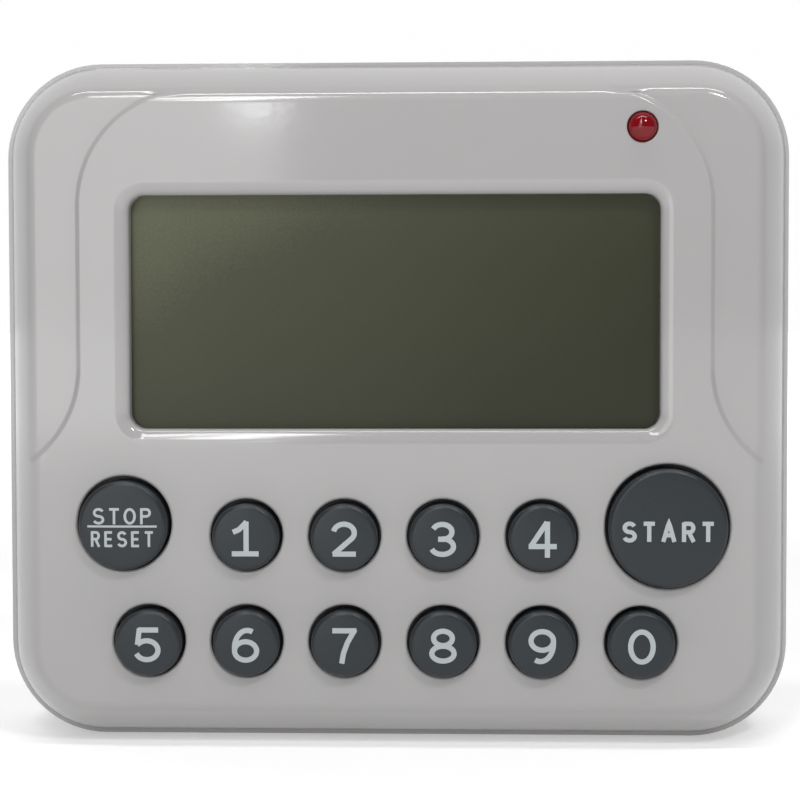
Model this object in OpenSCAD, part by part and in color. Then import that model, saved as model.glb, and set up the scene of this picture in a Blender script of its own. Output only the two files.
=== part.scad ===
// Digital kitchen timer: number pad, two command keys, liquid crystal display,
// red signal lamp, one AAA cell, flip-out stand and two back magnets.
// Millimetres. The timer stands upright on its bottom edge with its face towards -Y,
// +X is to the right of the face and +Z is up. The origin is at the middle of the base.
// "Depth" is measured from the plane of the face towards the back.

/* [Case] */
// Width over the rim of the rear shell
body_w = 80.4; // [76:0.1:100]
// Height over the rim of the rear shell
body_h = 69.5; // [68:0.1:90]
// Depth from the face to the back
body_d = 22; // [21.5:0.1:30]
// Corner radius of the outline
corner_r = 9.8; // [9:0.1:12]
// How far the front shell is set in from the rear shell's rim
rim_step = 0.45; // [0.2:0.05:0.8]
// Thickness of the side walls
wall = 1.6; // [1.2:0.1:1.8]
// Thickness of the face
face_t = 2; // [1.6:0.1:2.2]
// Thickness of the back wall
back_t = 1.8; // [1.5:0.1:2.2]
// Width of the sloping band round the face, from the rim to the ridge
band_w = 4.6; // [4:0.1:5]
// Radius of the ridge between the face and the band
ridge_r = 1.3; // [0.8:0.1:1.6]
// Depth at which the two shells meet
parting_d = 6.8; // [6.6:0.1:7.4]
// Open line between the two shells
parting_gap = 0.1; // [0.05:0.05:0.2]
// Radius of the rear shell's back edge
back_edge_r = 3.6; // [2:0.1:4]
// How far the side panels of the face lie below the middle panel
scoop_d = 0.45; // [0.2:0.05:0.6]
// Half the width of the middle panel
panel_half_w = 31.75; // [31:0.05:33]
// Radius of the curves at the middle panel's ends
panel_curve_r = 11.5; // [9:0.5:14]

/* [Display] */
// Width of the window
window_w = 53.3; // [50:0.1:54]
// Height of the window
window_h = 23.5; // [20:0.1:24]
// Height of the window's middle above the base
window_z = 43.9; // [43.5:0.1:45]
// Corner radius of the window
window_r = 1.6; // [0.8:0.1:2]
// Width of the rolled lip round the window
lip_w = 1.5; // [0.8:0.1:2]
// Depth of the rolled lip
lip_d = 0.9; // [0.5:0.1:1.4]
// Cover of the glass beyond the window at the sides and the top
glass_cover = 1.75; // [1.5:0.05:2]
// Cover of the front glass below the window, where its contacts are
glass_ledge = 2.15; // [1.9:0.05:2.2]
// Thickness of each glass plate
glass_t = 1; // [0.7:0.1:1.1]
// Thickness of each polariser film
film_t = 0.2; // [0.1:0.05:0.3]

/* [Keys] */
// Diameter of a number key's hole
hole_dia = 7.28; // [7:0.02:7.6]
// Diameter of the stop and reset key's hole
stop_hole_dia = 9.54; // [9:0.02:9.8]
// Diameter of the start key's hole
start_hole_dia = 12.46; // [11.5:0.02:12.6]
// Clearance round a key, on the radius
key_gap = 0.29; // [0.2:0.01:0.35]
// How far the caps rest below the middle of their holes
key_sag = 0.12; // [0:0.01:0.15]
// How far the caps stand out of the face
key_proud = 1.3; // [1:0.1:2]
// Travel of a key
key_travel = 0.85; // [0.5:0.05:0.85]
// Distance between two number keys
key_pitch = 9.89; // [9.6:0.01:10.2]
// Height of the upper row of number keys
row_1_z = 21.5; // [21.3:0.1:21.8]
// Height of the lower row of number keys
row_2_z = 10.8; // [10.5:0.1:11]
// Stop key to the left of the middle
stop_x = 27.2; // [26.8:0.1:27.5]
// Height of the stop key
stop_z = 22.65; // [22.3:0.05:22.8]
// Start key to the right of the middle
start_x = 27.35; // [27:0.05:27.5]
// Height of the start key
start_z = 22.45; // [22.3:0.05:22.6]
// Width of the flange that keeps a key in the case
key_flange = 0.85; // [0.6:0.05:0.9]
// Edge radius of a key cap
key_edge_r = 0.45; // [0.2:0.05:0.6]

/* [Lamp] */
// Diameter of the lamp
lamp_dia = 3; // [2.8:0.1:3.2]
// Lamp to the right of the middle
lamp_x = 24.75; // [20:0.05:26]
// Height of the lamp
lamp_z = 62.2; // [62:0.1:63]
// How far the lamp stands out of the face
lamp_proud = 1; // [0.5:0.1:1.2]

/* [Circuit board] */
// Depth of the board's front
board_d = 6.2; // [6.2:0.1:6.4]
// Thickness of the board
board_t = 1; // [0.8:0.1:1.2]
// Clearance between the board and the side walls
board_gap = 1.6; // [1:0.1:2]
// Thickness of the rubber keypad's web
web_t = 1; // [0.8:0.1:1.2]

/* [Battery] */
// Diameter of the AAA cell
cell_dia = 10.5; // [10:0.1:10.6]
// Length of the AAA cell with its button
cell_len = 44.5; // [43.3:0.1:44.5]
// Height of the cell above the base
cell_z = 55; // [54.5:0.1:55.5]
// Clearance round the cell
cell_gap = 0.35; // [0.2:0.05:0.5]
// Wall of the battery tray
tray_t = 1; // [0.8:0.1:1.4]
// Room for the spring
spring_len = 4.2; // [3.5:0.1:5]
// Thickness of the contact plates
contact_t = 0.4; // [0.3:0.05:0.5]
// Thickness of the battery door
door_t = 1.6; // [1.3:0.1:1.8]
// Clearance round the battery door
door_gap = 0.15; // [0.1:0.01:0.25]
// How far the door's ledge runs round the battery tray
door_ledge = 2; // [1.6:0.1:2.4]

/* [Stand] */
// Width of the stand
stand_w = 34; // [26:0.5:36]
// Length of the stand below its hinge
stand_len = 27.5; // [22:0.5:29]
// Thickness of the stand
stand_t = 2.2; // [1.8:0.1:2.4]
// Height of the stand's hinge above the base
stand_z = 37.2; // [36:0.1:38]
// Diameter of the hinge pins
pin_dia = 2; // [1.6:0.1:2]
// Length of each hinge pin
pin_len = 1.2; // [0.8:0.1:1.4]
// Radial clearance of the hinge pins
pin_gap = 0.05; // [0.03:0.01:0.09]
// Clearance round the stand
stand_gap = 0.3; // [0.2:0.05:0.5]
// How far the stand opens, in degrees
stand_angle = 35; // [25:1:40]

/* [Magnets and sounder] */
// Diameter of a magnet
magnet_dia = 10; // [8:0.5:11]
// Thickness of a magnet
magnet_t = 2; // [1.5:0.1:2.2]
// Height of the magnets above the base
magnet_z = 22; // [18:0.5:23]
// Distance of the magnets and the sounder from the middle
side_x = 28.3; // [28:0.1:29]
// Diameter of the sounder's brass disc
sounder_dia = 15; // [12:0.5:15]
// Height of the sounder above the base
sounder_z = 37.5; // [37:0.5:38]
// Diameter of a sound hole
sound_hole_dia = 1.3; // [1:0.1:1.6]

/* [Screws] */
// Distance of the case screws from the rim
screw_inset = 7.2; // [7:0.1:8]
// Thread diameter of the case screws
screw_dia = 2; // [1.8:0.1:2.2]
// Head diameter of the case screws
screw_head_dia = 3.8; // [3.4:0.1:4]
// Length of the case screws under their heads
screw_len = 8; // [7:0.5:9]
// Thread diameter of the board screws
board_screw_dia = 1.7; // [1.4:0.1:1.8]
// Head diameter of the board screws
board_head_dia = 3.2; // [2.8:0.1:3.2]

/* [Hidden] */
$fn = 96;
EPS = 0.01;

// Colours
housing_white = [0.80, 0.79, 0.80];
key_slate = [0.25, 0.28, 0.30];
lamp_red = [0.62, 0.08, 0.12];
display_olive = [0.38, 0.40, 0.30];
glass_tint = [0.70, 0.76, 0.72];
board_green = [0.10, 0.35, 0.20];
rubber_grey = [0.55, 0.57, 0.58];
carbon_black = [0.07, 0.07, 0.07];
steel = [0.72, 0.73, 0.75];
brass = [0.78, 0.62, 0.30];
ceramic_cream = [0.88, 0.86, 0.80];
sleeve_green = [0.16, 0.42, 0.30];
wire_red = [0.70, 0.10, 0.10];
wire_black = [0.08, 0.08, 0.08];
frame_white = [0.90, 0.90, 0.88];
part_brown = [0.45, 0.38, 0.30];
capacitor_blue = [0.15, 0.20, 0.35];

// The face lies behind the key caps, so that the whole timer is centred on Y = 0
face_y = -(body_d + key_proud) / 2 + key_proud;
mid_z = body_h / 2;

// Slope of the band just below the ridge, in degrees, and the straight rim under it
band_top_angle = 38;
rim_flat = 0.2;

// Tongue of the rear shell inside the front shell's rim
tongue_t = 0.65;
tongue_len = 1.2;
tongue_gap = 0.15;

// Where the middle panel's edge starts to bend, and how far round it bends
panel_upper_z = 54.6;
panel_lower_z = 38.4;
panel_upper_sweep = 57;
panel_lower_sweep = 51;

// Front of each layer of the display, from the face
display_gap = 0.05;
film_inset = 0.4;
front_film_d = face_t + display_gap;
front_glass_d = front_film_d + film_t;
rear_glass_d = front_glass_d + glass_t;
reflector_d = rear_glass_d + glass_t;
reflector_t = film_t + 0.1;
holder_d = reflector_d + reflector_t;
glass_w = window_w + 2 * glass_cover;
glass_seal = 0.6;
glass_top_z = window_z + window_h / 2 + glass_cover + glass_seal;
ledge_z = window_z - window_h / 2 - glass_ledge;
rear_glass_z = window_z - window_h / 2 + 0.05;
strip_gap = 0.2;
strip_w = glass_w - 4.8;
rib_t = 0.8;
holder_t = 1.6;
holder_rim = 2.4;
holder_foot = 0.9;

// Keys: place, hole diameter and label of each
stop_place = [-stop_x, stop_z];
start_place = [start_x, start_z];
function column_x(column) = (column - 2.5) * key_pitch;
function digit_place(digit) =
  digit == 0 ? [column_x(5), row_2_z]
  : digit < 5 ? [column_x(digit), row_1_z]
  : [column_x(digit - 5), row_2_z];
key_places = concat([for (digit = [0:9]) digit_place(digit)], [start_place, stop_place]);
key_holes = concat([for (digit = [0:9]) hole_dia], [start_hole_dia, stop_hole_dia]);

// Layers of the keypad behind the face
flange_d = face_t + 0.1;
flange_t = 0.8;
stem_t = 0.6;
plunger_d = flange_d + flange_t + stem_t;
web_d = board_d - web_t;
dome_shoulder_t = 0.9;
plunger_inset = 1.2;
pill_inset = 1.85;
pill_t = 0.3;
pill_d = board_d - key_travel - 0.05 - pill_t;
mat_top_z = ledge_z - 1.4;
mat_bottom_z = row_2_z - hole_dia / 2 - 2.6;
mat_half_w = start_x + start_hole_dia / 2 + 0.4;

// Circuit board and the posts that carry it
board_inset = rim_step + wall + board_gap;
board_back_d = board_d + board_t;
post_r = 1.9;
post_x = body_w / 2 - 5.8;
board_post_places = [[-post_x, 33.5], [post_x, 33.5], [-post_x, 52], [post_x, 52], [0, 5]];
board_pilot_r = board_screw_dia / 2 - 0.15;
board_screw_len = 3.6;
board_head_t = 1;

// Case screws
screw_x = body_w / 2 - screw_inset;
screw_places = [for (side = [-1, 1], z = [screw_inset, body_h - screw_inset]) [side * screw_x, z]];
case_post_r = 2.4;
case_post_d = 12;
counterbore_d = case_post_d + 2.2;
counterbore_r = screw_head_dia / 2 + 0.3;
counterbore_wall = 0.9;
screw_clearance = 0.15;
screw_head_t = 1.4;
screw_pilot_r = screw_dia / 2 - 0.15;

// Battery tray and door
tray_len = cell_len + spring_len + 2 * contact_t + 0.5;
tray_bore_h = cell_dia + 2 * cell_gap;
door_outer_d = body_d;
door_inner_d = body_d - door_t;
recess_d = door_inner_d - door_gap;
cell_d = door_inner_d - 0.6 - cell_dia / 2;
tray_floor_d = cell_d - cell_dia / 2 - 0.1;
tray_front_d = tray_floor_d - tray_t;
door_w = tray_len + 2 * door_ledge;
door_h = tray_bore_h + 2 * door_ledge;
door_bottom_z = cell_z - door_h / 2;
door_top_z = cell_z + door_h / 2;
frame_t = 1.7;
tab_x = 15;
tab_w = 5;
tab_drop = 1.35;
tab_t = 1.1;
tab_root_t = 1.1;
latch_w = 8;
latch_t = 0.8;
latch_gap = 0.9;
latch_depth = 3.4;
latch_hook = 0.55;
latch_side_gap = 0.3;
latch_notch_h = 1.8;
latch_pocket_h = 3.4;
latch_hook_room = 0.6;
tab_side_gap = 0.4;
tab_end_gap = 0.7;
tab_pocket_d = 2.8;
tab_behind_door = 0.4;
door_frame_rim = 1.5;
cell_rib_x = 10;
cell_rib_h = 0.4;
plus_x = tray_len / 2 - contact_t;
cell_plus_x = plus_x - 0.35;
cell_minus_x = cell_plus_x - cell_len;
minus_x = -tray_len / 2 + contact_t;
button_len = 0.9;
button_r = 1.9;
sleeve_t = 0.1;
sleeve_gap = 0.03;
contact_size = 9;
contact_tab_w = 2;
contact_tab_out = 1.5;
contact_tab_d = cell_d - 3.15;
contact_slot_gap = 0.2;
spring_wire = 0.6;
spring_turns = 4;

// Stand: its heel meets the pocket's floor when it is fully open
hinge_d = body_d - 0.4 - stand_t / 2;
pocket_floor_gap = 0.5;
pocket_d = hinge_d - stand_t / 2 - pocket_floor_gap;
stop_gap = 0.02;
heel_len = (stand_t / 2 + pocket_floor_gap - stop_gap - stand_t / 2 * cos(stand_angle))
  / sin(stand_angle);
pocket_wall = 1.5;
pocket_w = stand_w + 2 * stand_gap;
socket_w = stand_w + 2 * (pin_len + 0.2);
pocket_top_z = stand_z + norm([heel_len, stand_t / 2]) + stand_gap;
pocket_bottom_z = stand_z - stand_len - stand_gap;
stand_corner_r = 4;
scoop_r = 6;
scoop_rise = 2.6;
finger_scoop_w = 14;

// Magnets
magnet_gap = 0.1;
magnet_seat_wall = 1.5;
magnet_seat_t = 1.2;

// Sounder
sounder_ring_t = 1;
sounder_ring_lip = 0.7;
sounder_seat_t = 1;
sounder_chamber = 1;
sounder_t = 0.25;
sounder_gap = 0.2;
sounder_wall_d = body_d - back_t;
sounder_d = sounder_wall_d - sounder_chamber - sounder_t;
ceramic_t = 0.2;
ceramic_dia = sounder_dia * 2 / 3;
sound_ring_r = 3.2;

// Lamp
lamp_gap = 0.05;
lamp_flange_t = 1;
lamp_base_d = 4.3;
lamp_lead_pitch = 2.54;
lamp_lead_t = 0.5;
lamp_lead_end_d = board_back_d + 1.1;

// Parts on the back of the board
chip_place = [0, 36];
chip_cover_r = 5;
chip_cover_t = 1.5;
crystal_place = [9, 40];
crystal_dia = 2;
crystal_len = 6;
chip_part_size = [1.6, 0.8];
chip_part_t = 0.6;
chip_part_places = [
  [-10, 40], [-10, 37], [-10, 34], [10, 34], [13, 34], [16, 34], [10, 30]
];
capacitor_place = [-14, 44];
capacitor_r = 2;
capacitor_h = 5;

// Wires inside the case: each route's points are [x, depth, z]
wire_dia = 1;
wire_sides = 8;
steps_per_point = 4;
wire_reach = wire_dia / 2 + contact_t / 2 + 0.1;
contact_out_x = tray_len / 2 + tray_t + contact_tab_out - 0.6;
board_joint_d = board_back_d + 0.2;
battery_red_route = [
  [contact_out_x, contact_tab_d + wire_reach, cell_z],
  [contact_out_x, contact_tab_d + wire_reach + 1.5, cell_z - 1],
  [contact_out_x + 1, 14, cell_z - 5], [28, 12, 45], [24, 9.6, 42], [21, 8.8, 42],
  [21, board_joint_d, 42]
];
battery_black_route = [
  [-contact_out_x, contact_tab_d + wire_reach, cell_z],
  [-contact_out_x, contact_tab_d + wire_reach + 1.5, cell_z - 1],
  [-contact_out_x - 1, 14, cell_z - 5], [-27.5, 12, 45.5], [-23, 9.8, 43], [-19, 8.8, 43],
  [-19, board_joint_d, 43]
];
sounder_red_route = [
  [-24.5, sounder_d - 0.5, 37.5], [-24.3, sounder_d - 3, 37.2], [-22, 13, 34], [-20, 10, 32],
  [-18, 8.8, 31], [-18, board_joint_d, 31]
];
sounder_black_route = [
  [-30, sounder_d - 0.3, 31.8], [-29.6, sounder_d - 3, 31], [-26, 13, 29], [-23, 10, 28],
  [-21, 8.8, 28], [-21, board_joint_d, 28]
];

// ---------------------------------------------------------------------------------------
// Shared shapes
// ---------------------------------------------------------------------------------------

// Extrudes a shape drawn as the face sees it (x, z), between two depths
module between(depth_0, depth_1) {
  translate([0, face_y + depth_1, 0])
    rotate([90, 0, 0])
      linear_extrude(depth_1 - depth_0)
        children();
}

// Round bar along the depth
module round_bar(place, r, depth_0, depth_1) {
  translate([place[0], face_y + depth_0, place[1]])
    rotate([-90, 0, 0])
      cylinder(r = r, h = depth_1 - depth_0);
}

// Cone along the depth
module cone_bar(place, r_0, r_1, depth_0, depth_1) {
  translate([place[0], face_y + depth_0, place[1]])
    rotate([-90, 0, 0])
      cylinder(r1 = r_0, r2 = r_1, h = depth_1 - depth_0);
}

// Rectangle with true round corners, centred
module rounded_rect(w, h, r) {
  square([w - 2 * r, h], center = true);
  square([w, h - 2 * r], center = true);
  for (x = [-1, 1], y = [-1, 1]) {
    translate([x * (w / 2 - r), y * (h / 2 - r)])
      circle(r);
  }
}

// Rounded rectangle whose edge follows a profile of [inset, depth] points, front to back
module profiled_slab(w, h, r, mid, profile) {
  side = [for (p = profile) [w / 2 - p[0], p[1]]];
  rise = [for (p = profile) [p[1], h / 2 - p[0]]];
  swept = [for (p = profile) [r - p[0], p[1]]];
  last = len(profile) - 1;
  translate([0, face_y, mid]) {
    // Middle stretch, with the side profile
    translate([0, 0, -(h / 2 - r)])
      linear_extrude(h - 2 * r)
        polygon(concat(side, [for (i = [last:-1:0]) [-side[i][0], side[i][1]]]));
    // Full height stretch, with the top and bottom profile
    translate([-(w / 2 - r), 0, 0])
      rotate([90, 0, 90])
        linear_extrude(w - 2 * r)
          polygon(concat(rise, [for (i = [last:-1:0]) [rise[i][0], -rise[i][1]]]));
    // Corners
    for (corner = [[1, -1, 0], [-1, -1, 90], [-1, 1, 180], [1, 1, 270]]) {
      translate([corner[0] * (w / 2 - r), 0, corner[1] * (h / 2 - r)])
        rotate([-90, 0, 0])
          rotate([0, 0, corner[2]])
            rotate_extrude(angle = 90)
              polygon(concat([[0, profile[0][1]]], swept, [[0, profile[last][1]]]));
    }
  }
}

// The band's profile, as [inset, depth]: a tight ridge, then a wide arc that ends at the rim.
// Angles are between the surface and the depth axis.
band_inset_1 = band_w - ridge_r * cos(band_top_angle);
band_depth_1 = ridge_r * (1 - sin(band_top_angle));
band_depth_2 = parting_d - parting_gap - rim_flat;
band_rim_angle =
  2 * atan((band_inset_1 - rim_step) / (band_depth_2 - band_depth_1)) - band_top_angle;
band_r = (band_inset_1 - rim_step) / (cos(band_rim_angle) - cos(band_top_angle));
function ridge_arc(steps) = [for (i = [0:steps])
  let (a = 90 - (90 - band_top_angle) * i / steps)
  [band_w - ridge_r * cos(a), ridge_r * (1 - sin(a))]];
function band_arc(steps) = [for (i = [1:steps])
  let (a = band_top_angle - (band_top_angle - band_rim_angle) * i / steps)
  [band_inset_1 - band_r * (cos(a) - cos(band_top_angle)),
   band_depth_1 + band_r * (sin(band_top_angle) - sin(a))]];
function band_inset(depth) =
  let (s = max(sin(band_rim_angle), sin(band_top_angle) - (depth - band_depth_1) / band_r))
  band_inset_1 - band_r * (sqrt(1 - s * s) - cos(band_top_angle));

function front_profile() =
  concat(ridge_arc(4), band_arc(5), [[rim_step, parting_d - parting_gap]]);
function front_cavity_profile() =
  [for (i = [0:5])
    let (depth = face_t + (parting_d + EPS - face_t) * i / 5) [band_inset(depth) + wall, depth]];
function back_profile() =
  concat([[0, parting_d]],
         [for (i = [0:6]) [back_edge_r * (1 - cos(15 * i)),
                           body_d - back_edge_r * (1 - sin(15 * i))]]);
function back_cavity_profile() =
  concat([[rim_step + wall, parting_d - EPS]],
         [for (i = [0:4]) [rim_step + wall + (back_edge_r - wall) * (1 - cos(22.5 * i)),
                           body_d - back_t - (back_edge_r - wall) * (1 - sin(22.5 * i))]]);

// Smooth curve through a list of points
function curve_point(p, i, t) =
  let (a = p[max(i - 1, 0)], b = p[i], c = p[i + 1], d = p[min(i + 2, len(p) - 1)])
  0.5 * ((2 * b) + (c - a) * t + (2 * a - 5 * b + 4 * c - d) * t * t
         + (3 * b - a - 3 * c + d) * t * t * t);
function smooth_route(p, steps) = concat(
  [for (i = [0:len(p) - 2], s = [0:steps - 1]) curve_point(p, i, s / steps)], [p[len(p) - 1]]);
function unit(v) = v / norm(v);
function route_dir(p, i) = unit(p[min(i + 1, len(p) - 1)] - p[max(i - 1, 0)]);

// Closed tube of the given diameter along a list of points; side_hint is never along it
module tube(points, dia, sides, side_hint) {
  count = len(points);
  rings = [for (i = [0:count - 1])
    let (dir = route_dir(points, i), u = unit(cross(side_hint, dir)), v = cross(dir, u))
    for (k = [0:sides - 1])
      points[i] + dia / 2 * (u * cos(360 * k / sides) + v * sin(360 * k / sides))];
  ends = [[for (k = [0:sides - 1]) k], [for (k = [sides - 1:-1:0]) (count - 1) * sides + k]];
  walls = [for (i = [0:count - 2], k = [0:sides - 1])
    let (a = i * sides + k, b = i * sides + (k + 1) % sides)
    for (face = [[a, a + sides, b], [b, a + sides, b + sides]]) face];
  polyhedron(points = rings, faces = concat(ends, walls));
}

module wire(route, side_hint) {
  translate([0, face_y, 0])
    tube(smooth_route(route, steps_per_point), wire_dia, wire_sides, side_hint);
}

// ---------------------------------------------------------------------------------------
// Case
// ---------------------------------------------------------------------------------------

// Outline of one side panel of the face, right hand side. The middle panel's edge comes down
// from the ridge, bends into a straight line and bends out again to the ridge at the bottom.
module side_panel_2d() {
  upper_x = panel_half_w - panel_curve_r;
  lower_x = panel_half_w + panel_curve_r;
  upper_arc = [for (a = [panel_upper_sweep:-panel_upper_sweep / 8:0])
    [upper_x + panel_curve_r * cos(a), panel_upper_z + panel_curve_r * sin(a)]];
  lower_arc = [for (a = [0:panel_lower_sweep / 8:panel_lower_sweep])
    [lower_x - panel_curve_r * cos(a), panel_lower_z - panel_curve_r * sin(a)]];
  top = [upper_arc[0][0], body_h + 1];
  end_z = lower_arc[8][1];
  polygon(concat([top], upper_arc, lower_arc, [[body_w, end_z], [body_w, body_h + 1]]));
}

module front_shell() {
  lip_profile = concat([[-lip_w, -1]], [for (i = [0:4])
    [-lip_w * (1 - sin(22.5 * i)), lip_d * (1 - cos(22.5 * i))]], [[0, face_t + EPS]]);
  color(housing_white)
  difference() {
    union() {
      difference() {
        profiled_slab(body_w, body_h, corner_r, mid_z, front_profile());
        profiled_slab(body_w, body_h, corner_r, mid_z, front_cavity_profile());
      }
      // Posts for the case screws and the circuit board
      for (p = screw_places) {
        round_bar(p, case_post_r, face_t - 0.2, case_post_d);
      }
      for (p = board_post_places) {
        round_bar(p, post_r, face_t - 0.2, board_d);
      }
      // Ribs that place the display
      for (side = [-1, 1]) {
        between(face_t - EPS, reflector_d)
          translate([side * (glass_w / 2 + strip_gap + rib_t / 2), window_z])
            square([rib_t, window_h - 4], center = true);
      }
      between(face_t - EPS, reflector_d)
        translate([0, glass_top_z + strip_gap + rib_t / 2])
          square([glass_w - 8, rib_t], center = true);
    }
    // Side panels
    between(-1, scoop_d)
      side_panel_2d();
    mirror([1, 0, 0])
      between(-1, scoop_d)
        side_panel_2d();
    // Window
    profiled_slab(window_w, window_h, window_r, window_z, lip_profile);
    // Key holes
    for (i = [0:len(key_places) - 1]) {
      round_bar(key_places[i], key_holes[i] / 2, -1, face_t + EPS);
    }
    // Lamp hole
    round_bar([lamp_x, lamp_z], lamp_dia / 2 + lamp_gap, -1, face_t + 1);
    // Pilot holes
    for (p = screw_places) {
      round_bar(p, screw_pilot_r, counterbore_d - screw_len - 1, case_post_d + EPS);
    }
    for (p = board_post_places) {
      round_bar(p, board_pilot_r, board_back_d - board_screw_len - 0.6, board_d + EPS);
    }
    // Rebate for the rear shell's tongue
    rebate();
  }
}

// Ring cut from the inside of the front shell's rim
module rebate() {
  outer = rim_step + wall - tongue_t - tongue_gap;
  inner = rim_step + wall + 0.6;
  between(parting_d - tongue_len - tongue_gap, parting_d + EPS)
    translate([0, mid_z])
      difference() {
        rounded_rect(body_w - 2 * outer, body_h - 2 * outer, corner_r - outer);
        rounded_rect(body_w - 2 * inner, body_h - 2 * inner, corner_r - inner);
      }
}

module back_shell() {
  color(housing_white)
  difference() {
    union() {
      difference() {
        profiled_slab(body_w, body_h, corner_r, mid_z, back_profile());
        profiled_slab(body_w, body_h, corner_r, mid_z, back_cavity_profile());
      }
      tongue();
      // Posts for the case screws
      for (p = screw_places) {
        round_bar(p, counterbore_r + counterbore_wall, case_post_d, body_d - back_t + EPS);
      }
      // Battery tray and the frame of its door
      between(tray_front_d, recess_d)
        translate([0, cell_z])
          square([tray_len + 2 * tray_t, tray_bore_h + 2 * tray_t], center = true);
      between(recess_d - frame_t, body_d - EPS)
        translate([0, cell_z])
          square([door_w + 2 * door_gap + 2 * door_frame_rim,
                  door_h + 2 * door_gap + 2 * door_frame_rim], center = true);
      // Stand pocket
      between(pocket_d - pocket_wall, body_d - EPS)
        translate([0, (pocket_top_z + pocket_bottom_z) / 2])
          square([pocket_w + 2 * pocket_wall, pocket_top_z - pocket_bottom_z + 2 * pocket_wall],
                 center = true);
      // Magnet seats
      for (side = [-1, 1]) {
        round_bar([side * side_x, magnet_z], magnet_dia / 2 + magnet_seat_wall,
                  body_d - magnet_t - magnet_seat_t, body_d - EPS);
      }
      // Sounder seat
      difference() {
        round_bar([-side_x, sounder_z], sounder_dia / 2 + sounder_gap + sounder_ring_t,
                  sounder_d - sounder_ring_lip, sounder_wall_d + EPS);
        round_bar([-side_x, sounder_z], sounder_dia / 2 + sounder_gap, sounder_d - 1,
                  sounder_d + sounder_t);
        round_bar([-side_x, sounder_z], sounder_dia / 2 - sounder_seat_t, sounder_d - 1,
                  sounder_wall_d);
      }
    }
    // Battery bay, door recess and the pockets of its tabs and latch
    between(tray_floor_d, body_d + 1)
      translate([0, cell_z])
        square([tray_len, tray_bore_h], center = true);
    between(recess_d, body_d + 1)
      translate([0, cell_z])
        rounded_rect(door_w + 2 * door_gap, door_h + 2 * door_gap, 1);
    for (side = [-1, 1]) {
      between(recess_d - tab_pocket_d, recess_d + EPS)
        translate([side * tab_x - tab_w / 2 - tab_side_gap, door_bottom_z - tab_drop - tab_end_gap])
          square([tab_w + 2 * tab_side_gap, tab_drop + tab_end_gap + door_ledge + 0.5]);
    }
    between(recess_d - latch_depth - latch_hook_room, recess_d + EPS)
      translate([-latch_w / 2 - latch_side_gap, door_top_z - latch_pocket_h])
        square([latch_w + 2 * latch_side_gap,
                latch_pocket_h + door_gap + latch_hook + latch_hook_room]);
    // Slots of the battery contacts
    for (side = [-1, 1]) {
      between(contact_tab_d - contact_t / 2 - contact_slot_gap,
              contact_tab_d + contact_t / 2 + contact_slot_gap)
        translate([side * (tray_len / 2 + tray_t / 2), cell_z])
          square([tray_t + 2 * contact_slot_gap, contact_tab_w + 2 * contact_slot_gap],
                 center = true);
    }
    // Stand pocket, its hinge sockets and a finger scoop
    between(pocket_d, body_d + 1)
      translate([0, (pocket_top_z + pocket_bottom_z) / 2])
        square([pocket_w, pocket_top_z - pocket_bottom_z], center = true);
    translate([-socket_w / 2, face_y + hinge_d, stand_z])
      rotate([0, 90, 0])
        cylinder(r = pin_dia / 2 + pin_gap, h = socket_w);
    translate([0, face_y + body_d + scoop_r - scoop_rise, pocket_bottom_z])
      rotate([0, 90, 0])
        cylinder(r = scoop_r, h = finger_scoop_w, center = true);
    // Magnet pockets
    for (side = [-1, 1]) {
      round_bar([side * side_x, magnet_z], magnet_dia / 2 + magnet_gap, body_d - magnet_t, body_d + 1);
    }
    // Sound holes: one in the middle and six round it
    round_bar([-side_x, sounder_z], sound_hole_dia / 2, sounder_wall_d - 1, body_d + 1);
    for (a = [0:60:300]) {
      round_bar([-side_x + sound_ring_r * cos(a), sounder_z + sound_ring_r * sin(a)],
                sound_hole_dia / 2, sounder_wall_d - 1, body_d + 1);
    }
    // Screw holes
    for (p = screw_places) {
      round_bar(p, counterbore_r, counterbore_d, body_d + 1);
      round_bar(p, screw_dia / 2 + screw_clearance, case_post_d - 1, counterbore_d + EPS);
    }
  }
}

// Thin tongue of the rear shell that lies inside the front shell's rim
module tongue() {
  outer = rim_step + wall - tongue_t;
  inner = rim_step + wall + 0.15;
  between(parting_d - tongue_len, parting_d + 1)
    translate([0, mid_z])
      difference() {
        rounded_rect(body_w - 2 * outer, body_h - 2 * outer, corner_r - outer);
        rounded_rect(body_w - 2 * inner, body_h - 2 * inner, corner_r - inner);
      }
}

// ---------------------------------------------------------------------------------------
// Display
// ---------------------------------------------------------------------------------------

module glass_plate(bottom_z, depth_0, depth_1) {
  between(depth_0, depth_1)
    translate([-glass_w / 2, bottom_z])
      square([glass_w, glass_top_z - bottom_z]);
}

module lcd_front_polariser() {
  color(display_olive)
    between(front_film_d, front_glass_d)
      translate([-glass_w / 2 + film_inset, rear_glass_z - glass_seal])
        square([glass_w - 2 * film_inset, glass_top_z - rear_glass_z + glass_seal - film_inset]);
}

module lcd_front_glass() {
  color(glass_tint)
    glass_plate(ledge_z, front_glass_d, rear_glass_d);
}

module lcd_rear_glass() {
  color(glass_tint)
    glass_plate(rear_glass_z, rear_glass_d, reflector_d);
}

module lcd_reflector() {
  color(steel)
    glass_plate(rear_glass_z, reflector_d, holder_d);
}

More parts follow.
